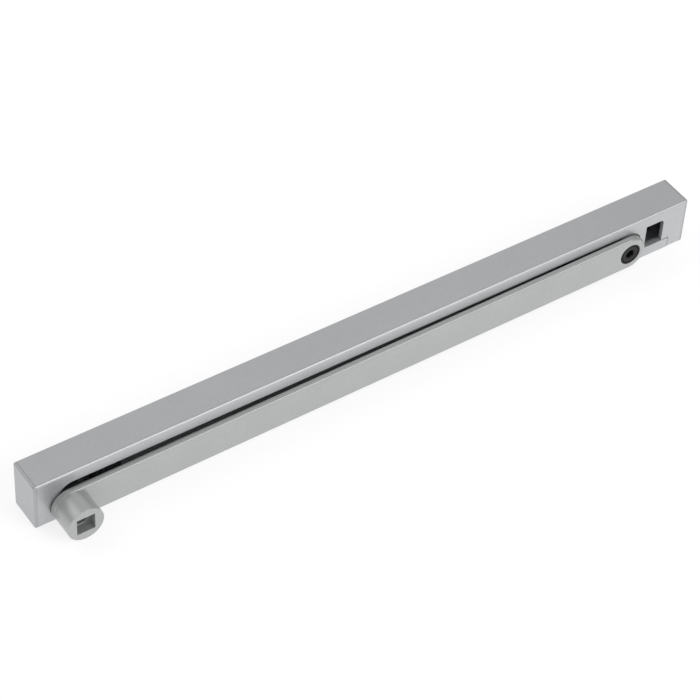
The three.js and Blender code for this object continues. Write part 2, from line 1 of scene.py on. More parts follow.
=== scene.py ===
"""Looks of a door closer's guide rail and lever arm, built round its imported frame.

Shapes are drawn in millimetres in the row frame (+X along the rail, +Y out of its mounting face, +Z up)
and brought to metres when they are finished.
"""

import logging
import math
from collections import Counter
from collections.abc import Callable, Sequence
from dataclasses import dataclass, field, replace
from enum import Enum

import bmesh
import bpy
from mathutils import Matrix, Vector


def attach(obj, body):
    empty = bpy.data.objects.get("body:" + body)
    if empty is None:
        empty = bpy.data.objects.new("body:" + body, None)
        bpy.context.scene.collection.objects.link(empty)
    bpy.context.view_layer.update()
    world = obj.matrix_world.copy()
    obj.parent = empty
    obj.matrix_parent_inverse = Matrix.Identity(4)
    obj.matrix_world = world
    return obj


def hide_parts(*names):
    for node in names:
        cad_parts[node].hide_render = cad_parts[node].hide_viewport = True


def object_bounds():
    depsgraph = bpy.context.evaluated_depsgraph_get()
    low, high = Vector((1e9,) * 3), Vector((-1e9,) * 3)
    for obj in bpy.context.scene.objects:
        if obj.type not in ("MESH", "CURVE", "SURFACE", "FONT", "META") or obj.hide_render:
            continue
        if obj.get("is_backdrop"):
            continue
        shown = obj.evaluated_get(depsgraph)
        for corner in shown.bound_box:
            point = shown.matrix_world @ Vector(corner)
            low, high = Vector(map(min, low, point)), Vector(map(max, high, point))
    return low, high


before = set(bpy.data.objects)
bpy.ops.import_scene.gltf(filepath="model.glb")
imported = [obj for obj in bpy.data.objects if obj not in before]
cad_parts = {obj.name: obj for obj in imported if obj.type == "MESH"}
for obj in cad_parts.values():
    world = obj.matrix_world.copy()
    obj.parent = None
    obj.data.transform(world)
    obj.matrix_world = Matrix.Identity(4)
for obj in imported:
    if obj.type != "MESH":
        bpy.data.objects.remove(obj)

log = logging.getLogger("guide_rail_scene")

Point = tuple[float, float]

MM = 0.001  # in metres; the lengths below are in mm and the angles in degrees
ROUND_STEPS = 96  # straight steps in a full turn of a hub, a neck or a washer
SCREW_STEPS = 64  # the same for a screw
HOLE_STEPS = 48  # the same for a small hole
OVERCUT = 1.0  # how far a tool reaches past what it cuts, or a solid into the one it is joined to
NEAR = 0.01  # how near to a face the edges on it lie
AROUND = 1.0  # how far from an opening or a rim its edges are looked for
WELD = 1e-4  # vertices closer than this are one
LEVEL_UNDER = 0.3  # faces that meet at less than this angle are one
SHARP_OVER = 40  # a rounded piece's edges past this angle are shaded sharp
FLAT_WIDTH = 1.2  # a face wider than this lies on a flat side
GRAIN_SHARE = 0.45  # how much a finish's grain counts beside its cloudiness


# ------------------------------------------------------------------------------------ shapes
class Along(Enum):
    """The axis that an outline is carried along, and so the two axes that it is drawn in."""

    X = "outline in Y and Z"
    Y = "outline in X and Z"

    def place(self, point: Point, depth: float) -> Vector:
        """Puts an outline's point at a depth along the axis.

        Args:
            point: The outline's two coordinates, in mm.
            depth: The distance along the axis, in mm.

        Returns:
            The point in the row frame, in mm.
        """
        u, v = point
        return Vector((depth, u, v)) if self is Along.X else Vector((u, depth, v))


def arc(centre: Point, radius: float, start: float, end: float, steps: int) -> list[Point]:
    """Points on an arc, both ends included.

    Args:
        centre: The arc's centre.
        radius: Its radius.
        start: The angle of its first point, in degrees.
        end: The angle of its last point, in degrees.
        steps: How many straight steps it takes.

    Returns:
        The points, in order.
    """
    turns = [math.radians(start + (end - start) * i / steps) for i in range(steps + 1)]
    return [(centre[0] + radius * math.cos(t), centre[1] + radius * math.sin(t)) for t in turns]


def circle(centre: Point, radius: float, steps: int = ROUND_STEPS) -> list[Point]:
    """A circle's points, without the one that would repeat the first."""
    return arc(centre, radius, 0, 360, steps)[:-1]


def rounded_rectangle(low: Point, high: Point, radii: Sequence[float], steps: int = 8) -> list[Point]:
    """A rectangle with its corners rounded, anticlockwise.

    Args:
        low: Its lowest corner.
        high: Its highest corner.
        radii: The corner radii: lower right, upper right, upper left, lower left.
        steps: Straight steps in each rounded corner.

    Returns:
        The outline's points.
    """
    (left, bottom), (right, top) = low, high
    corners = [(right, bottom, -1, 1), (right, top, -1, -1), (left, top, 1, -1), (left, bottom, 1, 1)]
    outline: list[Point] = []
    for turn, ((x, z, sx, sz), radius) in enumerate(zip(corners, radii)):
        if radius <= 0:
            outline.append((x, z))
            continue
        start = -90 + 90 * turn
        outline += arc((x + sx * radius, z + sz * radius), radius, start, start + 90, steps)
    return outline


def rectangle(low: Point, high: Point) -> list[Point]:
    """A rectangle with square corners, by its lowest and highest corner."""
    return rounded_rectangle(low, high, [0] * 4)


def obround(left: float, right: float, middle: float, radius: float) -> list[Point]:
    """A bar outline with full round ends.

    Args:
        left: The left end's centre.
        right: The right end's centre.
        middle: The height of the middle line.
        radius: The ends' radius, half the bar's height.

    Returns:
        The outline's points.
    """
    half = ROUND_STEPS // 2
    return arc((right, middle), radius, -90, 90, half) + arc((left, middle), radius, 90, 270, half)


def polygon(centre: Point, across_flats: float, sides: int = 6, turn: float = 0) -> list[Point]:
    """A regular polygon by its width across flats, such as a key's socket.

    Args:
        centre: Its centre.
        across_flats: Its width across flats.
        sides: How many sides it has.
        turn: How far it is turned, in degrees.

    Returns:
        The outline's points.
    """
    radius = across_flats / 2 / math.cos(math.pi / sides)
    return arc(centre, radius, turn, turn + 360, sides)[:-1]


def ring_profile(inner: float, outer: float, start: float, end: float) -> list[Point]:
    """The closed profile of a plain ring, by its two radii and its two ends on the axis."""
    return [(inner, start), (outer, start), (outer, end), (inner, end), (inner, start)]


def object_of(bm: bmesh.types.BMesh, name: str) -> bpy.types.Object:
    """Turns a bmesh into an object in the scene and frees it.

    Args:
        bm: The bmesh.
        name: The object's name.

    Returns:
        The object.
    """
    mesh = bpy.data.meshes.new(name)
    bm.to_mesh(mesh)
    bm.free()
    made = bpy.data.objects.new(name, mesh)
    bpy.context.scene.collection.objects.link(made)
    return made


def prism(outline: Sequence[Point], along: Along, start: float, end: float) -> bpy.types.Object:
    """An outline carried along an axis, as a closed solid.

    Args:
        outline: The outline's points, in mm.
        along: The axis that it is carried along.
        start: Where it starts on that axis.
        end: Where it ends.

    Returns:
        The solid, with its faces pointing outwards.
    """
    bm = bmesh.new()
    first = [bm.verts.new(along.place(p, start)) for p in outline]
    last = [bm.verts.new(along.place(p, end)) for p in outline]
    bm.faces.new(first)
    bm.faces.new(last)
    for i, corner in enumerate(first):
        bm.faces.new((corner, first[i - 1], last[i - 1], last[i]))
    bmesh.ops.recalc_face_normals(bm, faces=bm.faces)
    return object_of(bm, "prism")


def turned(
    profile: Sequence[Point], centre: Point, along: Along = Along.Y, steps: int = ROUND_STEPS
) -> bpy.types.Object:
    """A turned solid whose axis runs along Y or X.

    Args:
        profile: Radius and depth of each point. It starts and ends on the axis, or comes back to its start.
        centre: The axis's place in the outline's two coordinates.
        along: The axis that it is turned round.
        steps: Straight steps in a full turn.

    Returns:
        The solid, with its faces pointing outwards.
    """
    bm = bmesh.new()
    rings: list[list[bmesh.types.BMVert]] = []
    closed = profile[0] == profile[-1]
    points = list(profile[:-1] if closed else profile)
    for radius, depth in points:
        ring = circle(centre, radius, steps) if radius else [centre]
        rings.append([bm.verts.new(along.place(p, depth)) for p in ring])
    depths = [depth for _, depth in points]
    pairs = list(zip(rings, rings[1:] + rings[:1], depths, depths[1:] + depths[:1]))
    for a, b, start, end in pairs if closed else pairs[:-1]:
        if len(a) > 1 and len(b) > 1:
            for i in range(steps):
                bm.faces.new((a[i - 1], a[i], b[i], b[i - 1]))
            continue
        ring, pole = (b, a[0]) if len(a) == 1 else (a, b[0])
        if start == end:
            bm.faces.new(ring)
            continue
        for i in range(steps):
            bm.faces.new((ring[i - 1], ring[i], pole))
    loose = [vert for vert in bm.verts if not vert.link_faces]
    bmesh.ops.delete(bm, geom=loose, context="VERTS")
    bmesh.ops.recalc_face_normals(bm, faces=bm.faces)
    return object_of(bm, "turned")


def baked(obj: bpy.types.Object) -> bpy.types.Object:
    """Applies an object's modifiers to its mesh and removes them.

    Args:
        obj: The object.

    Returns:
        The same object, with its new mesh.
    """
    graph = bpy.context.evaluated_depsgraph_get()
    mesh = bpy.data.meshes.new_from_object(obj.evaluated_get(graph), depsgraph=graph)
    obj.modifiers.clear()
    old = obj.data
    obj.data = mesh
    bpy.data.meshes.remove(old)
    return obj


def combined(target: bpy.types.Object, tool: bpy.types.Object, operation: str) -> bpy.types.Object:
    """Joins a tool to a solid or cuts it away, and deletes the tool.

    Args:
        target: The solid that is kept.
        tool: The solid that it is joined to or cut by.
        operation: UNION, DIFFERENCE or INTERSECT.

    Returns:
        The target, changed.
    """
    step = target.modifiers.new("combine", "BOOLEAN")
    step.operation = operation
    step.solver = "EXACT"
    step.object = tool
    baked(target)
    bpy.data.objects.remove(tool)
    return target


def cut(target: bpy.types.Object, *tools: bpy.types.Object) -> bpy.types.Object:
    """Cuts each tool out of a solid.

    Args:
        target: The solid.
        tools: The solids that it is cut by, which are deleted.

    Returns:
        The target, changed.
    """
    for tool in tools:
        combined(target, tool, "DIFFERENCE")
    return target


def join(target: bpy.types.Object, *tools: bpy.types.Object) -> bpy.types.Object:
    """Joins each tool to a solid.

    Args:
        target: The solid.
        tools: The solids that it is joined to, which are deleted.

    Returns:
        The target, changed.
    """
    for tool in tools:
        combined(target, tool, "UNION")
    return target


@dataclass(frozen=True)
class Edge:
    """How a piece's edges are broken: a radius in mm, and where it holds."""

    radius: float
    holds: Callable[[Vector], bool] = lambda middle: True


def plane_of(face: bpy.types.MeshPolygon) -> tuple[float, ...]:
    """The plane a face lies in, as its normal and its distance from the origin, rounded."""
    return tuple(round(value, 3) for value in (*face.normal, face.normal.dot(face.center)))


def keep_flat(mesh: bpy.types.Mesh) -> None:
    """Makes the shading of a solid's flat faces exactly flat, up to their rounded edges.

    Args:
        mesh: The mesh, in mm. A plane is flat if a face on it is wider than a round side's steps.
    """
    flat = set()
    for face in mesh.polygons:
        spots = [mesh.vertices[index].co for index in face.vertices]
        rim = sum((b - a).length for a, b in zip(spots, spots[1:] + spots[:1]))
        if 2 * face.area > FLAT_WIDTH * rim:
            flat.add(plane_of(face))
    normals = [corner.vector.copy() for corner in mesh.corner_normals]
    borders = Counter()
    for face in mesh.polygons:
        if plane_of(face) in flat:
            for corner in face.loop_indices:
                normals[corner] = face.normal.copy()
                borders[mesh.loops[corner].edge_index] += 1
    for index, faces in borders.items():
        if faces == 1:
            mesh.edges[index].use_edge_sharp = True
    mesh.normals_split_custom_set(normals)


def finished(
    obj: bpy.types.Object, name: str, edges: Sequence[Edge], sharp_over: float = 28, segments: int = 3
) -> bpy.types.Object:
    """Rounds a solid's sharp edges, smooths its shading and brings it to metres.

    Args:
        obj: The solid, in mm.
        name: The finished piece's name.
        edges: The edge radii; the last one that holds at an edge's middle counts.
        sharp_over: The angle, in degrees, past which an edge is sharp.
        segments: Straight steps across each rounded edge.

    Returns:
        The piece, with its place in its mesh.
    """
    bm = bmesh.new()
    bm.from_mesh(obj.data)
    bmesh.ops.remove_doubles(bm, verts=bm.verts, dist=WELD)
    bmesh.ops.dissolve_limit(bm, angle_limit=math.radians(LEVEL_UNDER), verts=bm.verts, edges=bm.edges)
    widest = max(edge.radius for edge in edges)
    weight = bm.edges.layers.float.new("bevel_weight_edge")
    limit = math.radians(sharp_over)
    for line in bm.edges:
        if len(line.link_faces) != 2 or line.calc_face_angle(0) < limit:
            continue
        middle = (line.verts[0].co + line.verts[1].co) / 2
        radius = [edge.radius for edge in edges if edge.holds(middle)][-1:]
        line[weight] = radius[0] / widest if radius else 0
    bm.to_mesh(obj.data)
    bm.free()
    bevel = obj.modifiers.new("edges", "BEVEL")
    bevel.limit_method = "WEIGHT"
    bevel.width = widest
    bevel.segments = segments
    bevel.miter_outer = "MITER_ARC"
    bevel.use_clamp_overlap = True
    baked(obj)
    obj.data.shade_smooth()
    obj.data.set_sharp_from_angle(angle=math.radians(SHARP_OVER))
    weighted = obj.modifiers.new("normals", "WEIGHTED_NORMAL")
    weighted.keep_sharp = True
    weighted.weight = 100
    baked(obj)
    keep_flat(obj.data)
    obj.data.transform(Matrix.Scale(MM, 4))
    obj.name = name
    obj.data.name = name
    return obj


# ------------------------------------------------------------------------------------ finishes
def srgb(code: str) -> tuple[float, float, float, float]:
    """Turns an sRGB hex colour to the linear values that a shader takes.

    Args:
        code: The colour, such as "#b4b6b8".

    Returns:
        Red, green, blue and alpha, from 0 to 1.
    """
    parts = [int(code[i : i + 2], 16) / 255 for i in (1, 3, 5)]
    linear = [p / 12.92 if p <= 0.04045 else ((p + 0.055) / 1.055) ** 2.4 for p in parts]
    return (*linear, 1.0)


def per_metre(size_mm: float) -> float:
    """The texture scale that gives a pattern features of that size, in mm, on Object coordinates."""
    return 1 / (size_mm * MM)


def add_node(
    tree: bpy.types.NodeTree, kind: str, settings: dict[str, object] | None = None, inputs: dict | None = None
) -> bpy.types.Node:
    """Adds a node with its settings, values and links.

    Args:
        tree: The node tree.
        kind: The node's type, such as ShaderNodeBump.
        settings: Property names and their values.
        inputs: Input names or numbers, with a value or the output socket that feeds them.

    Returns:
        The node.
    """
    node = tree.nodes.new(kind)
    for name, value in (settings or {}).items():
        setattr(node, name, value)
    for socket, value in (inputs or {}).items():
        if isinstance(value, bpy.types.NodeSocket):
            tree.links.new(value, node.inputs[socket])
        else:
            node.inputs[socket].default_value = value
    return node


def blank_material(name: str) -> bpy.types.Material:
    """Makes a material whose node tree is still empty.

    Args:
        name: The material's name.

    Returns:
        The material.
    """
    made = bpy.data.materials.new(name)
    made.use_nodes = True
    made.node_tree.nodes.clear()
    return made


@dataclass(frozen=True)
class Finish:
    """A surface with two nearby tones, a fine grain and a slow cloudiness, and a bump of its own size."""

    name: str
    slot: str
    light: str
    dark: str
    metallic: float
    roughness: tuple[float, float]
    grain_mm: float
    cloud_mm: float
    bump_mm: float
    bump_height_mm: float
    coat: float = 0.0
    coat_roughness: float = 0.2
    specular: float = 0.5

    def grain(self, tree: bpy.types.NodeTree, place: bpy.types.NodeSocket) -> bpy.types.NodeSocket:
        """The fine pattern that mixes the two tones: cells, as metal flakes or mineral grains lie.

        Args:
            tree: The material's node tree.
            place: The coordinates that the pattern is read at.

        Returns:
            A value socket from 0 to 1.
        """
        cells = add_node(
            tree,
            "ShaderNodeTexVoronoi",
            {"feature": "F1"},
            {"Vector": place, "Scale": per_metre(self.grain_mm)},
        )
        split = add_node(tree, "ShaderNodeSeparateColor", None, {"Color": cells.outputs["Color"]})
        return split.outputs["Red"]

    def height(self, tree: bpy.types.NodeTree, place: bpy.types.NodeSocket) -> bpy.types.NodeSocket:
        """The relief of the surface: a soft noise of the bump's size.

        Args:
            tree: The material's node tree.
            place: The coordinates that the pattern is read at.

        Returns:
            A value socket from 0 to 1.
        """
        noise = add_node(
            tree,
            "ShaderNodeTexNoise",
            None,
            {"Vector": place, "Scale": per_metre(self.bump_mm), "Detail": 3.0, "Roughness": 0.55},
        )
        return noise.outputs["Fac"]

    def material(self) -> bpy.types.Material:
        """Builds the material, or finds it if it is built already.

        Returns:
            A node material named for the finish.
        """
        if self.name in bpy.data.materials:
            return bpy.data.materials[self.name]
        made = blank_material(self.name)
        tree = made.node_tree
        place = add_node(tree, "ShaderNodeTexCoord").outputs["Object"]
        grain = self.grain(tree, place)
        cloud = add_node(
            tree,
            "ShaderNodeTexNoise",
            None,
            {"Vector": place, "Scale": per_metre(self.cloud_mm), "Detail": 4.0},
        )
        share = add_node(
            tree,
            "ShaderNodeMath",
            {"operation": "MULTIPLY_ADD"},
            {0: grain, 1: GRAIN_SHARE, 2: cloud.outputs["Fac"]},
        )
        spread = add_node(
            tree,
            "ShaderNodeMapRange",
            None,
            {"Value": share.outputs[0], "From Min": 0.3, "From Max": 1.1, "To Min": 0.0, "To Max": 1.0},
        )
        tone = add_node(
            tree,
            "ShaderNodeMix",
            {"data_type": "RGBA"},
            {"Factor": spread.outputs["Result"], "A": srgb(self.dark), "B": srgb(self.light)},
        )
        rough = add_node(
            tree,
            "ShaderNodeMapRange",
            None,
            {
                "Value": cloud.outputs["Fac"],
                "From Min": 0.3,
                "From Max": 0.7,
                "To Min": self.roughness[0],
                "To Max": self.roughness[1],
            },
        )
        relief = add_node(
            tree,
            "ShaderNodeBump",
            None,
            {"Height": self.height(tree, place), "Strength": 1.0, "Distance": self.bump_height_mm * MM},
        )
        shader = add_node(
            tree,
            "ShaderNodeBsdfPrincipled",
            None,
            {
                "Base Color": tone.outputs["Result"],
                "Metallic": self.metallic,
                "Roughness": rough.outputs["Result"],
                "Normal": relief.outputs["Normal"],
                "Coat Weight": self.coat,
                "Coat Roughness": self.coat_roughness,
                "Specular IOR Level": self.specular,
            },
        )
        add_node(tree, "ShaderNodeOutputMaterial", None, {"Surface": shader.outputs["BSDF"]})
        return made


@dataclass(frozen=True)
class TurnedFinish(Finish):
    """A finish whose relief is the fine rings that a lathe leaves round an axis along Y."""

    centre: Point = (0.0, 0.0)
    ring_mm: float = 0.4

    def height(self, tree: bpy.types.NodeTree, place: bpy.types.NodeSocket) -> bpy.types.NodeSocket:
        """The relief: rings round the piece's axis.

        Args:
            tree: The material's node tree.
            place: The coordinates that the pattern is read at.

        Returns:
            A value socket from 0 to 1.
        """
        moved = add_node(
            tree,
            "ShaderNodeMapping",
            None,
            {"Vector": place, "Location": (-self.centre[0] * MM, 0.0, -self.centre[1] * MM)},
        )
        # A wave texture repeats every 2 * pi / 20 units at scale 1.
        scale = per_metre(self.ring_mm) * math.pi / 10
        rings = add_node(
            tree,
            "ShaderNodeTexWave",
            {"wave_type": "RINGS", "rings_direction": "Y"},
            {"Vector": moved.outputs["Vector"], "Scale": scale, "Distortion": 0.6},
        )
        return rings.outputs["Fac"]


# Satin silver powder coat on drawn steel. The aluminium flake in it gives a soft metallic sheen with fine
# sparkle, and the cured powder a slight orange peel. Real flakes are under 0.1 mm and wouldn't show, so they
# are drawn at 0.7 mm.
RAIL_COAT = Finish(
    name="silver_powder_coat_rail",
    slot="silver_paint_rail",
    light="#c4c5c7",
    dark="#babbbd",
    metallic=0.58,
    roughness=(0.32, 0.38),
    grain_mm=0.7,
    cloud_mm=38,
    bump_mm=2.2,
    bump_height_mm=0.008,
    coat=0.2,
)
# The same powder on the arm and hub, from another batch: a touch darker and less metallic.
ARM_COAT = replace(
    RAIL_COAT,
    name="silver_powder_coat_arm",
    slot="silver_paint_arm",
    light="#b7b9b8",
    dark="#adafae",
    metallic=0.45,
    roughness=(0.3, 0.36),
    cloud_mm=30,
)
# Silver paint on die-cast end caps: a finer skin than the powder's, and slightly darker. The darker tone is
# painted shade for the end faces, which turn away from the key light; it darkens the caps' top and front
# bands as well.
SHADED_CAP_PAINT = replace(
    RAIL_COAT,
    name="silver_paint_end_cap",
    slot="silver_paint_cap",
    light="#b5b6b9",
    dark="#abacaf",
    metallic=0.6,
    cloud_mm=20,
    bump_mm=1.6,
    coat=0.15,
)
# Bare phosphated steel inside the tube, where the powder doesn't reach: pale grey and dull.
TUBE_INSIDE = Finish(
    name="phosphated_steel_inside",
    slot="silver_paint_rail",
    light="#b8babc",
    dark="#a4a6a8",
    metallic=0.4,
    roughness=(0.5, 0.65),
    grain_mm=0.5,
    cloud_mm=12,
    bump_mm=0.6,
    bump_height_mm=0.01,
)
# Tumbled zinc die casting: dull grey with a granular skin.
ZINC_CASTING = Finish(
    name="zinc_die_casting",
    slot="die_cast_zinc",
    light="#8f9296",
    dark="#777a7e",
    metallic=0.85,
    roughness=(0.46, 0.6),
    grain_mm=0.6,
    cloud_mm=9,
    bump_mm=0.7,
    bump_height_mm=0.02,
)
# Moulded black acetal: a waxy, even black with a faint eroded mould texture.
ACETAL = Finish(
    name="moulded_acetal",
    slot="acetal",
    light="#121416",
    dark="#0c0d0e",
    metallic=0.0,
    roughness=(0.42, 0.52),
    grain_mm=0.5,
    cloud_mm=6,
    bump_mm=0.35,
    bump_height_mm=0.004,
    specular=0.25,
)
# Moulded nitrile rubber: matt, with fine dust in its pores.
RUBBER = Finish(
    name="moulded_nitrile_rubber",
    slot="rubber",
    light="#202021",
    dark="#161617",
    metallic=0.0,
    roughness=(0.78, 0.9),
    grain_mm=0.4,
    cloud_mm=5,
    bump_mm=0.3,
    bump_height_mm=0.015,
)
# Black oxide on a forged steel screw: nearly black, lightly oiled, so it still catches the light on its rim.
BLACK_OXIDE = Finish(
    name="oiled_black_oxide_steel",
    slot="black_oxide_steel",
    light="#1c1d1f",
    dark="#111214",
    metallic=0.2,
    roughness=(0.4, 0.5),
    grain_mm=0.35,
    cloud_mm=4,
    bump_mm=0.25,
    bump_height_mm=0.004,
    specular=0.3,
)
# Bright zinc plate on turned steel: bluish and shiny, with the lathe's fine rings showing through.
ZINC_PLATE = TurnedFinish(
    name="zinc_plated_turned_steel",
    slot="zinc_plated_steel",
    light="#c3c8ce",
    dark="#aeb3b9",
    metallic=1.0,
    roughness=(0.26, 0.36),
    grain_mm=0.4,
    cloud_mm=6,
    bump_mm=0.5,
    bump_height_mm=0.006,
)


# ------------------------------------------------------------------------------------ geometry nodes
@dataclass
class NodeShape:
    """A geometry node tree with named number inputs, which makes a plain mesh."""

    name: str
    inputs: Sequence[str]
    tree: bpy.types.NodeTree = field(init=False)
    group_in: bpy.types.Node = field(init=False)

    def __post_init__(self) -> None:
        """Makes the empty tree with its inputs and output."""
        self.tree = bpy.data.node_groups.new(self.name, "GeometryNodeTree")
        for label in self.inputs:
            self.tree.interface.new_socket(name=label, in_out="INPUT", socket_type="NodeSocketFloat")
        self.tree.interface.new_socket(name="Material", in_out="INPUT", socket_type="NodeSocketMaterial")
        self.tree.interface.new_socket(name="Geometry", in_out="OUTPUT", socket_type="NodeSocketGeometry")
        self.group_in = self.tree.nodes.new("NodeGroupInput")

    def value(self, label: str) -> bpy.types.NodeSocket:
        """The socket of a named input."""
        return self.group_in.outputs[label]

    def node(self, kind: str, settings: dict | None = None, inputs: dict | None = None) -> bpy.types.Node:
        """Adds a node to the tree."""
        return add_node(self.tree, kind, settings, inputs)

    def math(self, operation: str, a: object, b: object) -> bpy.types.NodeSocket:
        """Adds a two-number operation and returns its result."""
        return self.node("ShaderNodeMath", {"operation": operation}, {0: a, 1: b}).outputs[0]

    def close(self, geometry: bpy.types.NodeSocket) -> None:
        """Ends the tree in Realize Instances and Set Material.

        Args:
            geometry: The socket of the shape.
        """
        whole = self.node("GeometryNodeRealizeInstances", None, {"Geometry": geometry})
        painted = self.node(
            "GeometryNodeSetMaterial",
            None,
            {"Geometry": whole.outputs["Geometry"], "Material": self.value("Material")},
        )
        self.node("NodeGroupOutput", None, {"Geometry": painted.outputs["Geometry"]})

    def make(self, name: str, made: bpy.types.Material, **sizes: float) -> bpy.types.Object:
        """Runs the tree once and keeps its result as a plain mesh.

        Args:
            name: The object's name.
            made: The material that the tree sets.
            sizes: A number for each input, in mm; spaces in an input's name are written as underscores.

        Returns:
            The object, with no modifier left on it.
        """
        host = bpy.data.objects.new(name, bpy.data.meshes.new(name))
        bpy.context.scene.collection.objects.link(host)
        step = host.modifiers.new(self.name, "NODES")
        step.node_group = self.tree
        for socket in self.tree.interface.items_tree:
            label = socket.name.replace(" ", "_").lower()
            if socket.in_out == "INPUT" and label in sizes:
                step[socket.identifier] = float(sizes[label])
            elif socket.in_out == "INPUT" and socket.name == "Material":
                step[socket.identifier] = made
        baked(host)
        host.data.materials.clear()
        host.data.materials.append(made)
        host.data.polygons.foreach_set("material_index", [0] * len(host.data.polygons))
        return host


def tube_shape() -> NodeShape:
    """The tree of a rectangular tube: a rounded section swept along X, less a smaller one.

    Returns:
        The tree, with the inputs Length, Depth, Height, Wall, Outer Radius and Inner Radius.
    """
    sizes = ("Length", "Depth", "Height", "Wall", "Outer Radius", "Inner Radius")
    shape = NodeShape("rectangular_tube", sizes)

    def bar(inset: object, radius: bpy.types.NodeSocket, extra: float) -> bpy.types.NodeSocket:
        """A rounded bar of the tube's length.

        Args:
            inset: How far it is drawn in all round, a number or a socket.
            radius: The socket of its corners' radius.
            extra: How much longer it is at each end, in mm.

        Returns:
            The socket of its mesh.
        """
        half = shape.math("MULTIPLY_ADD", shape.value("Length"), 0.5)
        half.node.inputs[2].default_value = extra
        middle = shape.math("MULTIPLY", shape.value("Depth"), -0.5)
        left = shape.math("MULTIPLY", half, -1.0)
        start = shape.node("ShaderNodeCombineXYZ", None, {"X": left, "Y": middle})
        end = shape.node("ShaderNodeCombineXYZ", None, {"X": half, "Y": middle})
        ends = {"Start": start.outputs[0], "End": end.outputs[0]}
        line = shape.node("GeometryNodeCurvePrimitiveLine", None, ends)
        both = shape.math("MULTIPLY", inset, 2.0)
        section = shape.node(
            "GeometryNodeCurvePrimitiveQuadrilateral",
            {"mode": "RECTANGLE"},
            {
                "Width": shape.math("SUBTRACT", shape.value("Depth"), both),
                "Height": shape.math("SUBTRACT", shape.value("Height"), both),
            },
        )
        soft = shape.node(
            "GeometryNodeFilletCurve",
            {"mode": "POLY"},
            {"Curve": section.outputs["Curve"], "Count": 10, "Radius": radius},
        )
        swept = shape.node(
            "GeometryNodeCurveToMesh",
            None,
            {"Curve": line.outputs["Curve"], "Profile Curve": soft.outputs["Curve"], "Fill Caps": True},
        )
        return swept.outputs["Mesh"]

    past_ends = 5.0
    outer = bar(0.0, shape.value("Outer Radius"), 0.0)
    inner = bar(shape.value("Wall"), shape.value("Inner Radius"), past_ends)
    less = shape.node(
        "GeometryNodeMeshBoolean",
        {"operation": "DIFFERENCE", "solver": "EXACT"},
        {"Mesh 1": outer, "Mesh 2": inner},
    )
    shape.close(less.outputs["Mesh"])
    return shape


def thread_shape() -> NodeShape:
    """The tree of a screw's thread: a ridge that winds round Y, half sunk in the shank.

    Returns:
        The tree, with the inputs Radius, Pitch, Length and Depth.
    """
    shape = NodeShape("thread_ridge", ("Radius", "Pitch", "Length", "Depth"))
    middle = shape.math("SUBTRACT", shape.value("Radius"), shape.value("Depth"))
    helix = shape.node(
        "GeometryNodeCurveSpiral",
        None,
        {
            "Resolution": 40,
            "Rotations": shape.math("DIVIDE", shape.value("Length"), shape.value("Pitch")),
            "Start Radius": middle,
            "End Radius": middle,
            "Height": shape.value("Length"),
        },
    )
    crest = shape.node(
        "GeometryNodeCurvePrimitiveCircle",
        None,
        {"Resolution": 8, "Radius": shape.value("Depth")},
    )
    ridge = shape.node(
        "GeometryNodeCurveToMesh",
        None,
        {"Curve": helix.outputs["Curve"], "Profile Curve": crest.outputs["Curve"], "Fill Caps": True},
    )
    along_y = shape.node(
        "GeometryNodeTransform",
        None,
        {"Geometry": ridge.outputs["Mesh"], "Rotation": (-math.pi / 2, 0, 0)},
    )
    shape.close(along_y.outputs["Geometry"])
    return shape


def rib_shape() -> NodeShape:
    """The tree of a lock washer's teeth: small wedges spaced evenly round a circle in X and Z.

    Returns:
        The tree, with the inputs Radius, Count, Width, Length and Rise.
    """
    shape = NodeShape("washer_teeth", ("Radius", "Count", "Width", "Length", "Rise"))
    size = shape.node(
        "ShaderNodeCombineXYZ",
        None,
        {"X": shape.value("Length"), "Y": shape.value("Width"), "Z": shape.value("Rise")},
    )
    tooth = shape.node("GeometryNodeMeshCube", None, {"Size": size.outputs[0]})
    around = shape.node(
        "GeometryNodeCurvePrimitiveCircle",
        None,
        {"Resolution": shape.value("Count"), "Radius": shape.value("Radius")},
    )
    points = shape.node(
        "GeometryNodeCurveToPoints",
        {"mode": "EVALUATED"},
        {"Curve": around.outputs["Curve"]},
    )
    facing = shape.node(
        "FunctionNodeAlignRotationToVector", {"axis": "Y"}, {"Vector": points.outputs["Tangent"]}
    )
    ring = shape.node(
        "GeometryNodeInstanceOnPoints",
        None,
        {
            "Points": points.outputs["Points"],
            "Instance": tooth.outputs["Mesh"],
            "Rotation": facing.outputs["Rotation"],
        },
    )
    upright = shape.node(
        "GeometryNodeTransform",
        None,
        {"Geometry": ring.outputs["Instances"], "Rotation": (math.pi / 2, 0, 0)},
    )
    shape.close(upright.outputs["Geometry"])
    return shape


def merged(pieces: Sequence[bpy.types.Object]) -> bpy.types.Object:
    """Joins meshes that only rest on or sink into each other.

    Args:
        pieces: The objects.

    Returns:
        The first object, which now holds all the meshes.
    """
    bm = bmesh.new()
    for piece in pieces:
        bm.from_mesh(piece.data)
    bm.to_mesh(pieces[0].data)
    bm.free()
    for piece in pieces[1:]:
        bpy.data.objects.remove(piece)
    return pieces[0]


def thread_depth(pitch: float) -> float:
    """How deep a thread is cut into its screw."""
    return pitch / 3


def threaded(
    shank: bpy.types.Object, centre: Point, radius: float, pitch: float, start: float, end: float
) -> bpy.types.Object:
    """Winds a thread round a finished screw's shank.

    Args:
        shank: The screw, in metres, drawn at its thread's root.
        centre: The screw's axis, in X and Z.
        radius: The thread's outer radius, in mm.
        pitch: The distance between its turns, in mm.
        start: The lower end of the thread on Y.
        end: The higher end of the thread on Y.

    Returns:
        The screw with its thread.
    """
    made = THREAD.make(
        "thread",
        BLACK_OXIDE.material(),
        radius=radius,
        pitch=pitch,
        length=end - start,
        depth=thread_depth(pitch),
    )
    made.data.transform(Matrix.Scale(MM, 4) @ Matrix.Translation((centre[0], start, centre[1])))
    made.data.shade_smooth()
    return merged([shank, made])


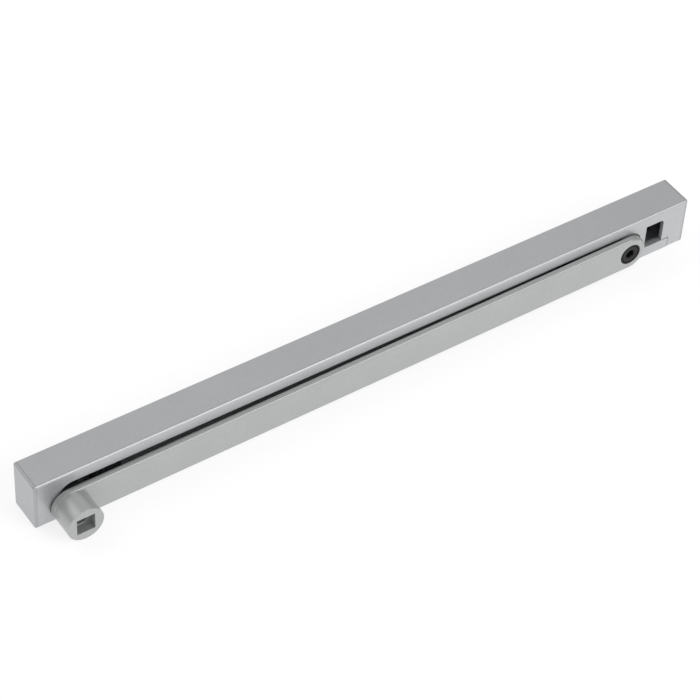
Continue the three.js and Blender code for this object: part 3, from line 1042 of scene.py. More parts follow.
def install(piece: bpy.types.Object, node: str, body: str, look: Finish) -> None:
    """Dresses a piece, sets it on its body and lets it stand for its CAD node.

    Args:
        piece: The finished piece, in metres.
        node: The CAD node that it stands for.
        body: The body that it moves with.
        look: Its finish; a piece that already wears one keeps it.
    """
    if not piece.data.materials:
        piece.data.materials.append(look.material())
    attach(piece, body)
    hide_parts(node)
    log.info("%s stands for %s on %s, %d faces", piece.name, node, body, len(piece.data.polygons))


# ------------------------------------------------------------------------------------ rail
@dataclass(frozen=True)
class Play:
    """The gap on each side of a sliding, a running and a seated pair, in mm."""

    sliding: float = 0.25
    running: float = 0.08
    seat: float = 0.05


PLAY = Play()
ARM_GAP = 1.0  # from the rail's front face to the arm's back, in mm


@dataclass(frozen=True)
class Rail:
    """The guide rail: its tube, keeper strip, end caps and fixing blocks. Sizes are in mm."""

    length: float = 440
    depth: float = 22.5
    height: float = 32.5
    wall: float = 2.5
    edge_radius: float = 1.6
    inner_radius: float = 0.8
    coated_skin: float = 0.5
    cap_thickness: float = 2
    cap_edge_radius: float = 1.1
    plug_depth: float = 6
    plug_wall: float = 2
    slot_height: float = 18.8
    slot_z: float = -0.7
    slot_to_left_end: float = 14.2
    slot_to_right_end: float = 33.5
    slot_to_window: float = 3.5
    window_length: float = 13
    window_height: float = 16.1
    window_z: float = 0.4
    window_corner_radius: float = 2.5
    window_to_keeper: float = 0.5
    keeper_before_window: float = 1.7
    keeper_past_window: float = 5
    keeper_proud: float = 0.2
    keeper_seam: float = 0.4
    keeper_tongue: float = 3
    keeper_tongue_thickness: float = 1.5
    fixing_to_end: float = 23.5
    fixing_hole_radius: float = 2.75
    fixing_sink_radius: float = 5.5
    fixing_block_length: float = 22
    fixing_block_thickness: float = 5
    fixing_sink_depth: float = 1.5

    @property
    def front(self) -> float:
        """The front face on Y."""
        return -self.depth

    @property
    def inner_front(self) -> float:
        """The inside of the front wall on Y."""
        return self.front + self.wall

    @property
    def inner_back(self) -> float:
        """The inside of the back wall on Y."""
        return -self.wall

    @property
    def half_height(self) -> float:
        """Half the outer height."""
        return self.height / 2

    @property
    def inner_half_height(self) -> float:
        """Half the height inside."""
        return self.half_height - self.wall

    @property
    def slot_left(self) -> float:
        """The slot's left end on X."""
        return -self.length / 2 + self.slot_to_left_end

    @property
    def slot_right(self) -> float:
        """The slot's right end on X."""
        return self.length / 2 - self.slot_to_right_end

    @property
    def window(self) -> tuple[Point, Point]:
        """The window's lowest and highest corners in X and Z."""
        left = self.slot_right + self.slot_to_window
        low = self.window_z - self.window_height / 2
        return (left, low), (left + self.window_length, low + self.window_height)

    @property
    def keeper(self) -> tuple[float, float, float]:
        """The keeper's left end, right end and top edge."""
        (left, low), (right, _) = self.window
        return left - self.keeper_before_window, right + self.keeper_past_window, low - self.window_to_keeper

    def fixing_x(self, side: int) -> float:
        """The place of a fixing hole on X: the left one for side -1, the right one for side 1."""
        return side * (self.length / 2 - self.fixing_to_end)

    def section(self, inset: float, radius: float) -> list[Point]:
        """The tube's outer section in Y and Z.

        Args:
            inset: How far it is drawn in on every side.
            radius: The radius of its corners.

        Returns:
            The outline's points.
        """
        low = (self.front + inset, -self.half_height + inset)
        high = (-inset, self.half_height - inset)
        return rounded_rectangle(low, high, [radius] * 4)

    def tube(self) -> bpy.types.Object:
        """The tube with its slot, window, keeper notch and fixing holes.

        Returns:
            The piece, painted outside and phosphated inside.
        """
        body = TUBE.make(
            "tube",
            RAIL_COAT.material(),
            length=self.length - 2 * self.cap_thickness,
            depth=self.depth,
            height=self.height,
            wall=self.wall,
            outer_radius=self.edge_radius,
            inner_radius=self.inner_radius,
        )
        radius = self.slot_height / 2
        slot = obround(self.slot_left + radius, self.slot_right - radius, self.slot_z, radius)
        low, high = self.window
        left, right, top = self.keeper
        seam = self.keeper_seam
        window = rounded_rectangle(low, high, [0, self.window_corner_radius, 0, 0])
        notch = rectangle((left - seam, -self.height), (right + seam, top + seam))
        before, behind = self.front - OVERCUT, self.inner_front + OVERCUT
        tools = [
            prism(slot, Along.Y, before, behind),
            prism(window, Along.Y, before, behind),
            prism(notch, Along.Y, before, self.inner_front),
        ]
        for side in (-1, 1):
            hole = circle((self.fixing_x(side), 0.0), self.fixing_hole_radius, HOLE_STEPS)
            tools.append(prism(hole, Along.Y, self.inner_back - OVERCUT, OVERCUT))
        cut(body, *tools)
        face = self.front + NEAR
        piece = finished(
            body,
            "rail_tube",
            [
                Edge(0.15),
                Edge(0.3, lambda m: m.y < face and self.slot_left - AROUND < m.x < high[0] + AROUND),
                Edge(0.12, lambda m: left - AROUND < m.x < right + AROUND and m.z < top + seam),
                Edge(0.03, lambda m: abs(m.x) > self.length / 2 - self.cap_thickness - NEAR),
            ],
        )
        self.paint_tube(piece)
        return piece

    def paint_tube(self, piece: bpy.types.Object) -> None:
        """Gives the inner faces and the punched edges the bare steel look, and all others the powder coat.

        Args:
            piece: The finished tube. Only its outermost skin is coated.
        """
        piece.data.materials.append(TUBE_INSIDE.material())
        skin = self.coated_skin
        end = self.length / 2 - self.cap_thickness - skin
        for face in piece.data.polygons:
            x, y, z = face.center / MM
            inside = self.front + skin < y < -skin and abs(z) < self.half_height - skin and abs(x) < end
            face.material_index = int(inside)

    def keeper_strip(self) -> bpy.types.Object:
        """The strip that closes the front wall under the window, hooked behind the wall on both sides.

        Returns:
            The piece.
        """
        left, right, top = self.keeper
        wall_top = -self.inner_half_height + self.inner_radius + PLAY.seat
        tongue_front = self.inner_front + PLAY.seat
        tongue_back = tongue_front + self.keeper_tongue_thickness
        section = rounded_rectangle(
            (self.front - self.keeper_proud, -self.half_height),
            (self.inner_front - self.keeper_seam, top),
            [0, 0, self.keeper_proud, self.edge_radius],
        )
        web = rectangle((self.front + OVERCUT, wall_top), (tongue_back, top))
        tongue = rectangle((tongue_front, wall_top), (tongue_back, top))
        plate = join(
            prism(section, Along.X, left, right),
            prism(web, Along.X, left, right),
            prism(tongue, Along.X, left - self.keeper_tongue, right + self.keeper_tongue),
        )
        return finished(plate, "keeper_strip", [Edge(0.12)])

    def end_cap(self, side: int) -> bpy.types.Object:
        """An end cap: a plate of the tube's section with a hollow plug that presses into the tube.

        Args:
            side: -1 for the left cap, 1 for the right one.

        Returns:
            The piece.
        """
        outer = side * self.length / 2
        seam = outer - side * self.cap_thickness
        inner = seam - side * self.plug_depth
        plate = prism(self.section(0, self.edge_radius), Along.X, outer, seam)
        overcut = side * OVERCUT
        plug_section = self.section(self.wall + PLAY.seat, self.inner_radius)
        hollow_section = self.section(self.wall + self.plug_wall, self.inner_radius)
        plug = prism(plug_section, Along.X, inner, seam + overcut)
        hollow = prism(hollow_section, Along.X, inner - overcut, seam)
        whole = cut(join(plate, plug), hollow)
        name = "end_cap_left" if side < 0 else "end_cap_right"
        edges = [
            Edge(0.03),
            Edge(0.12, lambda m: abs(m.x) < abs(seam) - NEAR),
            Edge(self.cap_edge_radius, lambda m: abs(m.x) > abs(outer) - NEAR),
        ]
        return finished(whole, name, edges, segments=5)

    def fixing_block(self, side: int) -> bpy.types.Object:
        """The block on the back wall, countersunk for the head of the fixing screw that goes through it.

        Args:
            side: -1 for the left block, 1 for the right one.

        Returns:
            The piece.
        """
        x = self.fixing_x(side)
        back = self.inner_back - PLAY.seat
        front = back - self.fixing_block_thickness
        half = self.fixing_block_length / 2
        body = prism(self.wall_section(self.fixing_block_thickness), Along.X, x - half, x + half)
        floor = front + self.fixing_sink_depth
        sink = turned(
            [
                (0, front - OVERCUT),
                (self.fixing_sink_radius, front - OVERCUT),
                (self.fixing_sink_radius, floor),
                (self.fixing_hole_radius, floor),
                (self.fixing_hole_radius, back + OVERCUT),
                (0, back + OVERCUT),
            ],
            (x, 0.0),
        )
        name = "fixing_block_left" if side < 0 else "fixing_block_right"
        return finished(cut(body, sink), name, [Edge(0.25)])

    def wall_section(self, thickness: float) -> list[Point]:
        """The section in Y and Z of a block that lies on the back wall and fills the tube's height.

        Args:
            thickness: The block's size on Y.

        Returns:
            The outline's points.
        """
        back = self.inner_back - PLAY.seat
        half = self.inner_half_height - PLAY.seat
        return rounded_rectangle((back - thickness, -half), (back, half), [self.inner_radius] * 4)

    def build(self) -> None:
        """Builds and installs the rail's pieces."""
        install(self.tube(), "guide_rail", "rail", RAIL_COAT)
        install(self.keeper_strip(), "keeper_plate", "rail", RAIL_COAT)
        for side, word in ((-1, "left"), (1, "right")):
            install(self.end_cap(side), f"{word}_end_cap", "rail", SHADED_CAP_PAINT)
            install(self.fixing_block(side), f"{word}_fixing_block", "rail", ZINC_CASTING)


@dataclass(frozen=True)
class TravelStop:
    """The travel stop in the rail: a clamped block with a rubber buffer. Sizes are in mm."""

    rail: Rail
    to_left_end: float = 42
    length: float = 16
    thickness: float = 11
    screw_radius: float = 3
    screw_key: float = 3.5
    screw_pitch: float = 1
    screw_sunk: float = 1
    thread_inset: float = 0.5
    buffer_length: float = 6
    buffer_radius: float = 4.5
    buffer_dome: float = 0.9
    buffer_groove: float = 0.5
    stem_radius: float = 2.25
    stem_length: float = 5

    @property
    def left(self) -> float:
        """The block's left face on X."""
        return -self.rail.length / 2 + self.to_left_end

    @property
    def right(self) -> float:
        """The block's right face on X."""
        return self.left + self.length

    @property
    def back(self) -> float:
        """The block's back face on Y."""
        return self.rail.inner_back - PLAY.seat

    @property
    def front(self) -> float:
        """The block's front face on Y."""
        return self.back - self.thickness

    @property
    def screw_centre(self) -> Point:
        """The clamp screw's axis in X and Z."""
        return self.left + self.length / 3, self.rail.slot_z

    @property
    def buffer_axis(self) -> Point:
        """The buffer's axis in Y and Z."""
        return (self.front + self.back) / 2, self.rail.slot_z

    def block(self) -> bpy.types.Object:
        """The block, bored for its clamp screw and for the buffer's stem.

        Returns:
            The piece.
        """
        body = prism(self.rail.wall_section(self.thickness), Along.X, self.left, self.right)
        hole = circle(self.screw_centre, self.screw_radius + PLAY.seat, HOLE_STEPS)
        stem = circle(self.buffer_axis, self.stem_radius + PLAY.seat, HOLE_STEPS)
        start = self.right - self.stem_length - PLAY.seat
        cut(
            body,
            prism(hole, Along.Y, self.front - OVERCUT, self.back + OVERCUT),
            prism(stem, Along.X, start, self.right + OVERCUT),
        )
        return finished(body, "travel_stop", [Edge(0.3)])

    def clamp_screw(self) -> bpy.types.Object:
        """The headless clamp screw, threaded and socketed for a key.

        Returns:
            The piece.
        """
        root = self.screw_radius - thread_depth(self.screw_pitch)
        start = self.front + self.screw_sunk
        shank = prism(circle(self.screw_centre, root, SCREW_STEPS), Along.Y, start, self.back)
        key = polygon(self.screw_centre, self.screw_key)
        cut(shank, prism(key, Along.Y, self.front, start + self.thickness / 3))
        piece = finished(shank, "travel_stop_screw", [Edge(0.15)])
        thread_start, thread_end = start + self.thread_inset, self.back - self.thread_inset
        return threaded(
            piece, self.screw_centre, self.screw_radius, self.screw_pitch, thread_start, thread_end
        )

    def buffer(self) -> bpy.types.Object:
        """The rubber buffer: a domed pad with a moulded groove, and its stem.

        Returns:
            The piece.
        """
        face, tip = self.right, self.right + self.buffer_length
        radius, groove, rise = self.buffer_radius, self.buffer_groove, self.buffer_dome
        middle = (face + tip) / 2
        # The dome is a quarter of an ellipse, less its last stretch, which runs straight to the tip.
        dome = [(radius * math.cos(t), tip - rise + rise * math.sin(t)) for t in (0.0, 0.4, 0.8, 1.2)]
        profile = [
            (0, face - self.stem_length),
            (self.stem_radius, face - self.stem_length),
            (self.stem_radius, face),
            (radius, face),
            (radius, middle - groove),
            (radius - groove, middle - groove / 2),
            (radius - groove, middle + groove / 2),
            (radius, middle + groove),
            *dome,
            (0, tip),
        ]
        body = turned(profile, self.buffer_axis, Along.X)
        return finished(body, "travel_stop_buffer", [Edge(0.15)], sharp_over=35)

    def build(self) -> None:
        """Builds and installs the stop's pieces."""
        install(self.block(), "stop_block", "rail", ZINC_CASTING)
        install(self.clamp_screw(), "stop_clamp_screw", "rail", BLACK_OXIDE)
        install(self.buffer(), "stop_buffer", "rail", RUBBER)


# ------------------------------------------------------------------------------------ slider and pivot
@dataclass(frozen=True)
class Slider:
    """The slider: a block in the rail whose round neck fills the slot, on two glides. Sizes are in mm."""

    rail: Rail
    length: float = 44
    to_slot_end: float = 3
    neck_to_slot_end: float = 0.7
    neck_proud: float = 0.2
    neck_paint_depth: float = 0.5
    glide_thickness: float = 1.1
    glide_top_thickness: float = 2.2
    glide_lip_height: float = 3.3
    pivot_to_slot_end: float = 11
    pivot_z: float = -2.4
    screw_radius: float = 4
    screw_pitch: float = 1.25
    sleeve_wall: float = 1.2
    washer_radius: float = 8.4
    nut_across_flats: float = 13
    nut_height: float = 4.5
    nut_to_flange: float = 0.5
    nut_chamfer: float = 0.55
    nut_face_inset: float = 0.1
    nut_collar_height: float = 1.2
    nut_collar_insets: tuple[float, float] = (0.6, 0.9)
    toothed_washer_thickness: float = 1.1
    toothed_ring_inset: float = 1.2
    tooth_count: int = 18
    tooth_inset: float = 1.1
    tooth_width: float = 0.9
    tooth_length: float = 1.9
    screw_end_to_wall: float = 1.65

    @property
    def pivot(self) -> Point:
        """The pivot's axis in X and Z."""
        return self.rail.slot_right - self.pivot_to_slot_end, self.pivot_z

    @property
    def sleeve_radius(self) -> float:
        """The sleeve's outer radius."""
        return self.screw_radius + self.sleeve_wall

    @property
    def neck_radius(self) -> float:
        """The neck's radius, which fills the slot."""
        return self.rail.slot_height / 2 - PLAY.sliding

    @property
    def neck_centre(self) -> Point:
        """The neck's axis in X and Z."""
        return self.rail.slot_right - self.neck_to_slot_end - self.neck_radius, self.rail.slot_z

    @property
    def neck_face(self) -> float:
        """The neck's front face on Y."""
        return self.rail.front - self.neck_proud

    @property
    def ends(self) -> Point:
        """The block's left and right faces on X."""
        right = self.rail.slot_right - self.to_slot_end
        return right - self.length, right

    @property
    def glide_faces(self) -> Point:
        """The glides' front and back faces on Y."""
        return self.rail.inner_front + PLAY.sliding, self.rail.inner_back - PLAY.sliding

    @property
    def block_faces(self) -> Point:
        """The block's front and back faces on Y."""
        front, back = self.glide_faces
        return front + self.glide_thickness, back - self.glide_thickness

    @property
    def glide_top(self) -> float:
        """The glides' outer faces above and below the middle."""
        return self.rail.inner_half_height - PLAY.sliding

    @property
    def block_half_height(self) -> float:
        """Half the block's height."""
        return self.glide_top - self.glide_top_thickness

    @property
    def nut_back(self) -> float:
        """The nut's back face and the screw's end on Y."""
        return self.rail.inner_back - self.screw_end_to_wall

    @property
    def nut_front(self) -> float:
        """The nut's front face on Y."""
        return self.nut_back - self.nut_height

    @property
    def plate_back(self) -> float:
        """The back of the block's plate, where the toothed washer seats."""
        return self.nut_front - self.toothed_washer_thickness

    @property
    def zinc_plate(self) -> TurnedFinish:
        """The zinc plate of the pieces round the pivot, where the lathe's rings have their centre."""
        return replace(ZINC_PLATE, centre=self.pivot)

    def block(self) -> bpy.types.Object:
        """The die-cast block: a plate with two flanges towards the back wall, and a neck with a painted face.

        Returns:
            The piece, in its two finishes.
        """
        front, back = self.block_faces
        h = self.block_half_height
        flange = abs(self.pivot_z) + self.nut_across_flats / 2 + self.nut_to_flange
        section = [
            (front, -h),
            (back, -h),
            (back, -flange),
            (self.plate_back, -flange),
            (self.plate_back, flange),
            (back, flange),
            (back, h),
            (front, h),
        ]
        body = prism(section, Along.X, *self.ends)
        neck = prism(circle(self.neck_centre, self.neck_radius), Along.Y, self.neck_face, front + OVERCUT)
        hole = circle(self.pivot, self.sleeve_radius + PLAY.seat)
        bore = prism(hole, Along.Y, self.neck_face - OVERCUT, self.plate_back + OVERCUT)
        whole = cut(join(body, neck), bore)
        piece = finished(whole, "slider_body", [Edge(0.25), Edge(0.15, lambda m: m.y < front - NEAR)])
        piece.data.materials.append(ZINC_CASTING.material())
        piece.data.materials.append(RAIL_COAT.material())
        for face in piece.data.polygons:
            face.material_index = int(face.center.y / MM < self.neck_face + self.neck_paint_depth)
        return piece

    def glide(self, side: int) -> bpy.types.Object:
        """A glide: a moulded channel over one flange of the block, with eased corners.

        Args:
            side: 1 for the upper glide, -1 for the lower.

        Returns:
            The piece.
        """
        lip = self.glide_top - self.glide_lip_height
        seat = self.block_half_height + PLAY.seat
        (front, back), (block_front, block_back) = self.glide_faces, self.block_faces
        ease = self.rail.inner_radius
        outline = [
            (front, lip),
            (block_front - PLAY.seat, lip),
            (block_front - PLAY.seat, seat),
            (block_back + PLAY.seat, seat),
            (block_back + PLAY.seat, lip),
            (back, lip),
            (back, self.glide_top - ease),
            (back - ease, self.glide_top),
            (front + ease, self.glide_top),
            (front, self.glide_top - ease),
        ]
        channel = prism([(y, side * z) for y, z in outline], Along.X, *self.ends)
        room = circle(self.neck_centre, self.neck_radius + PLAY.sliding)
        cut(channel, prism(room, Along.Y, self.rail.front, block_front + PLAY.seat))
        name = "glide_upper" if side > 0 else "glide_lower"
        return finished(channel, name, [Edge(0.15)])

    def thrust_washer(self) -> bpy.types.Object:
        """The plastic washer between the arm and the neck.

        Returns:
            The piece.
        """
        inner = self.sleeve_radius + PLAY.running
        start = self.rail.front - ARM_GAP + PLAY.running
        profile = ring_profile(inner, self.washer_radius, start, self.neck_face - PLAY.running)
        return finished(turned(profile, self.pivot), "arm_thrust_washer", [Edge(0.1)])

    def toothed_washer(self) -> bpy.types.Object:
        """The toothed lock washer under the nut: a thin ring with teeth on both sides.

        Returns:
            The piece.
        """
        inner = self.screw_radius + PLAY.running
        outer = self.nut_across_flats / 2
        start, end = self.plate_back, self.nut_front
        inset = self.toothed_washer_thickness / 6
        profile = ring_profile(inner, outer - self.toothed_ring_inset, start + inset, end - inset)
        ring = finished(turned(profile, self.pivot), "toothed_washer", [Edge(0.08)])
        teeth = TEETH.make(
            "teeth",
            self.zinc_plate.material(),
            radius=outer - self.tooth_inset,
            count=self.tooth_count,
            width=self.tooth_width,
            length=self.tooth_length,
            rise=self.toothed_washer_thickness - PLAY.seat,
        )
        middle = Matrix.Translation((self.pivot[0], (start + end) / 2, self.pivot[1]))
        teeth.data.transform(Matrix.Scale(MM, 4) @ middle)
        return merged([ring, teeth])

    def lock_nut(self) -> bpy.types.Object:
        """The lock nut: a chamfered hexagon with the round collar that holds its nylon ring.

        Returns:
            The piece.
        """
        front, back = self.nut_front, self.nut_back
        collar = back - self.nut_collar_height
        corner = self.nut_across_flats / math.sqrt(3)
        flat = self.nut_across_flats / 2
        collar_base, collar_top = self.nut_collar_insets
        body = prism(polygon(self.pivot, self.nut_across_flats), Along.Y, front, back)
        envelope = turned(
            [
                (0, front),
                (flat - self.nut_face_inset, front),
                (corner, front + self.nut_chamfer),
                (corner, collar - self.nut_chamfer),
                (flat - self.nut_face_inset, collar),
                (flat - collar_base, collar),
                (flat - collar_top, back),
                (0, back),
            ],
            self.pivot,
        )
        combined(body, envelope, "INTERSECT")
        bore = circle(self.pivot, self.screw_radius + PLAY.seat, SCREW_STEPS)
        cut(body, prism(bore, Along.Y, front - OVERCUT, back + OVERCUT))
        return finished(body, "pivot_lock_nut", [Edge(0.12)])

    def build(self) -> None:
        """Builds and installs the slider's own pieces and its nut and washers."""
        install(self.block(), "slider_block", "slider", ZINC_CASTING)
        install(self.glide(1), "upper_glide", "slider", ACETAL)
        install(self.glide(-1), "lower_glide", "slider", ACETAL)
        install(self.thrust_washer(), "thrust_washer", "slider", ACETAL)
        install(self.toothed_washer(), "spring_washer", "slider", self.zinc_plate)
        install(self.lock_nut(), "lock_nut", "slider", self.zinc_plate)


@dataclass(frozen=True)
class PivotScrew:
    """The screw and sleeve that the arm turns on, and the bearing in the arm. Sizes are in mm."""

    slider: Slider
    arm_thickness: float = 4
    head_radius: float = 5.7
    head_height: float = 2.4
    key: float = 5
    key_chamfer: float = 0.3
    drill_inset: float = 0.1
    drill_depth: float = 1.1
    thread_before_nut: float = 3
    thread_inset: float = 0.4
    bearing_ring: float = 1.2

    @property
    def arm_back(self) -> float:
        """The arm's back face on Y."""
        return self.slider.rail.front - ARM_GAP

    @property
    def arm_front(self) -> float:
        """The arm's front face on Y."""
        return self.arm_back - self.arm_thickness

    @property
    def head_front(self) -> float:
        """The head's front face on Y."""
        return self.arm_front + 3 * PLAY.running

    @property
    def head_back(self) -> float:
        """The head's back face on Y."""
        return self.head_front + self.head_height

    @property
    def rim_back(self) -> float:
        """The back of the head's straight rim on Y, where its cone starts."""
        return self.head_front + self.head_height / 6

    @property
    def bearing_radius(self) -> float:
        """The bearing's outer radius."""
        return self.head_radius + self.bearing_ring

    def sleeve(self) -> bpy.types.Object:
        """The turned sleeve that the screw's head seats on.

        Returns:
            The piece.
        """
        inner, outer = self.slider.screw_radius + PLAY.seat, self.slider.sleeve_radius
        profile = ring_profile(inner, outer, self.head_back, self.slider.plate_back)
        return finished(turned(profile, self.slider.pivot), "sleeve", [Edge(0.15)])

    def screw(self) -> bpy.types.Object:
        """The countersunk screw with a hexagon socket and its thread.

        Returns:
            The piece.
        """
        radius, pitch = self.slider.screw_radius, self.slider.screw_pitch
        depth = thread_depth(pitch)
        thread_start = self.slider.plate_back - self.thread_before_nut
        end = self.slider.nut_back
        body = turned(
            [
                (0, self.head_front),
                (self.head_radius, self.head_front),
                (self.head_radius, self.rim_back),
                (radius + self.slider.sleeve_wall / 2, self.head_back),
                (radius, self.head_back),
                (radius, thread_start),
                (radius - depth, thread_start + depth),
                (radius - depth, end),
                (0, end),
            ],
            self.slider.pivot,
        )
        floor = self.head_back + self.head_height / 4
        corner = self.key / math.sqrt(3)
        chamfer, inset = self.key_chamfer, self.drill_inset
        lip = self.head_front - chamfer
        mouth = turned(
            [(0, lip), (corner + 2 * chamfer, lip), (0, self.head_front + corner + chamfer)],
            self.slider.pivot,
        )
        drill = turned(
            [(0, floor - inset), (self.key / 2 - inset, floor - inset), (0, floor + self.drill_depth)],
            self.slider.pivot,
        )
        key = prism(polygon(self.slider.pivot, self.key, turn=30), Along.Y, self.head_front - OVERCUT, floor)
        cut(body, key, mouth, drill)
        piece = finished(body, "pivot_bolt", [Edge(0.15), Edge(0.3, self.on_rim)])
        thread_start, thread_end = thread_start + self.thread_inset, end - self.thread_inset
        return threaded(piece, self.slider.pivot, radius, pitch, thread_start, thread_end)

    def on_rim(self, middle: Vector) -> bool:
        """Tells whether an edge is on the rim of the screw's head.

        Args:
            middle: The edge's middle, in mm.

        Returns:
            True if it is.
        """
        x, z = self.slider.pivot
        from_axis = math.hypot(middle.x - x, middle.z - z)
        return middle.y < self.head_front + NEAR and from_axis > self.head_radius - NEAR

    def bearing(self) -> bpy.types.Object:
        """The plastic ring in the arm's end, with a conical seat round the screw's head.

        Returns:
            The piece.
        """
        bore = self.slider.sleeve_radius + PLAY.running
        mouth = self.head_radius + 4 * PLAY.running
        front = self.arm_front + PLAY.running
        profile = [
            (mouth, front),
            (self.bearing_radius, front),
            (self.bearing_radius, self.arm_back),
            (bore, self.arm_back),
            (bore, self.head_back - PLAY.running),
            (mouth, self.rim_back),
            (mouth, front),
        ]
        return finished(turned(profile, self.slider.pivot), "arm_bush", [Edge(0.12)])

    def build(self) -> None:
        """Builds and installs the pivot's pieces."""
        install(self.sleeve(), "pivot_sleeve", "slider", self.slider.zinc_plate)
        install(self.screw(), "pivot_screw", "slider", BLACK_OXIDE)
        install(self.bearing(), "arm_bearing", "arm", ACETAL)


# ------------------------------------------------------------------------------------ lever arm
@dataclass(frozen=True)
class LeverArm:
    """The lever arm and its hub, drawn level with the pivot and then tilted to rest. Sizes are in mm."""

    pivot_screw: PivotScrew
    width: float = 22
    length: float = 375.3
    pressed_edge_radius: float = 1.3
    hub_diameter: float = 22
    hub_height: float = 14.3
    hub_edge_radius: float = 0.6
    spigot_radius: float = 7.5
    socket_square: float = 11
    socket_corner_radius: float = 0.35
    socket_depth: float = 6.2
    pilot_radius: float = 5
    pilot_depth: float = 12.3
    screw_radius: float = 3
    screw_head_radius: float = 5.6
    screw_length: float = 8
    screw_key: float = 4
    screw_pitch: float = 1
    thread_inset: float = 0.4
    thread_to_head: float = 1

    @property
    def pivot(self) -> Point:
        """The pivot's axis in X and Z."""
        return self.pivot_screw.slider.pivot

    @property
    def hub_centre(self) -> Point:
        """The hub's axis in X and Z, with the arm level."""
        return self.pivot[0] - self.length, self.pivot[1]

    @property
    def hub_front(self) -> float:
        """The hub's front face on Y."""
        return self.pivot_screw.arm_front - self.hub_height

    def tilted(self, piece: bpy.types.Object) -> bpy.types.Object:
        """Turns a finished piece about the pivot until the hub is level with the rail's underside.

        Args:
            piece: The piece, in metres.

        Returns:
            The same piece.
        """
        hub_z = -self.pivot_screw.slider.rail.half_height + self.hub_diameter / 2
        tilt = math.asin((self.pivot[1] - hub_z) / self.length)
        centre = Vector((self.pivot[0], 0, self.pivot[1])) * MM
        turn = Matrix.Translation(centre) @ Matrix.Rotation(-tilt, 4, "Y") @ Matrix.Translation(-centre)
        piece.data.transform(turn)
        return piece

    def bar(self) -> bpy.types.Object:
        """The flat bar with full round ends, its outer edges rounded, bored for the bearing and the hub.

        Returns:
            The piece.
        """
        front, back = self.pivot_screw.arm_front, self.pivot_screw.arm_back
        outline = obround(self.hub_centre[0], self.pivot[0], self.pivot[1], self.width / 2)
        bar = prism(outline, Along.Y, front, back)
        holes = [
            (self.pivot, self.pivot_screw.bearing_radius + PLAY.seat),
            (self.hub_centre, self.spigot_radius + PLAY.seat),
        ]
        for centre, radius in holes:
            cut(bar, prism(circle(centre, radius), Along.Y, front - OVERCUT, back + OVERCUT))
        pressed = Edge(self.pressed_edge_radius, lambda m: m.y < front + NEAR and not self.in_hole(m))
        return self.tilted(finished(bar, "arm_bar", [Edge(0.3), pressed]))

    def in_hole(self, middle: Vector) -> bool:
        """Whether a point lies on the edge of one of the bar's two holes."""
        spots = (self.pivot, self.hub_centre)
        return any(math.hypot(middle.x - x, middle.z - z) < self.width / 2 - AROUND for x, z in spots)

    def hub(self) -> bpy.types.Object:
        """The turned hub: a square socket broached in the mouth of a deeper pilot hole, and a riveted spigot.

        Returns:
            The piece.
        """
        radius, back = self.hub_diameter / 2, self.pivot_screw.arm_back
        start = self.pivot_screw.arm_front
        body = turned(
            [
                (0, self.hub_front),
                (radius, self.hub_front),
                (radius, start),
                (self.spigot_radius, start),
                (self.spigot_radius, back),
                (0, back),
            ],
            self.hub_centre,
        )
        half = self.socket_square / 2
        x, z = self.hub_centre
        mouth, floor = self.hub_front, self.hub_front + self.socket_depth
        radii = [self.socket_corner_radius] * 4
        square = rounded_rectangle((x - half, z - half), (x + half, z + half), radii, steps=4)
        pilot = circle(self.hub_centre, self.pilot_radius)
        cut(
            body,
            prism(square, Along.Y, mouth - OVERCUT, floor),
            prism(pilot, Along.Y, mouth - OVERCUT, mouth + self.pilot_depth),
            self.spindle_screw_form(PLAY.seat, back + OVERCUT),
        )
        face = mouth + NEAR
        rim = radius - AROUND
        edges = [
            Edge(0.12),
            Edge(0.25, lambda m: face < m.y < floor + NEAR),
            Edge(0.3, lambda m: m.y < face),
            Edge(self.hub_edge_radius, lambda m: m.y < face and math.hypot(m.x - x, m.z - z) > rim),
        ]
        return self.tilted(finished(body, "hub_boss", edges))

    def spindle_screw_form(self, play: float, back: float, shank_less: float = 0) -> bpy.types.Object:
        """The spindle screw's form, made larger by `play`; its countersunk head ends at `back`.

        Args:
            play: How much wider it is all round, in mm.
            back: Where the head ends on Y.
            shank_less: How far the shank is turned down to the thread's root, in mm.

        Returns:
            The solid.
        """
        shank, head = self.screw_radius + play, self.screw_head_radius + play
        arm_back = self.pivot_screw.arm_back
        tip = arm_back - self.screw_length - play
        rim = arm_back - 2 * PLAY.seat
        return turned(
            [
                (0, tip),
                (shank - shank_less, tip),
                (shank - shank_less, rim - (head - shank)),
                (head, rim),
                (head, back),
                (0, back),
            ],
            self.hub_centre,
            steps=SCREW_STEPS,
        )

    def spindle_screw(self) -> bpy.types.Object:
        """The countersunk screw through the hub's floor that holds the closer's spindle.

        Returns:
            The piece.
        """
        back = self.pivot_screw.arm_back
        tip = back - self.screw_length
        body = self.spindle_screw_form(0, back - PLAY.seat, thread_depth(self.screw_pitch))
        key = polygon(self.hub_centre, self.screw_key)
        cut(body, prism(key, Along.Y, back - self.screw_key / 2, back + OVERCUT))
        piece = finished(body, "spindle_bolt", [Edge(0.04), Edge(0.2, lambda m: m.y < tip + NEAR)])
        start = tip + self.thread_inset
        end = back - (self.screw_head_radius - self.screw_radius) - self.thread_to_head
        threaded(piece, self.hub_centre, self.screw_radius, self.screw_pitch, start, end)
        return self.tilted(piece)

    def build(self) -> None:
        """Builds and installs the arm's pieces."""
        install(self.bar(), "lever_arm", "arm", ARM_COAT)
        install(self.hub(), "arm_hub", "arm", ARM_COAT)
        install(self.spindle_screw(), "spindle_screw", "arm", BLACK_OXIDE)


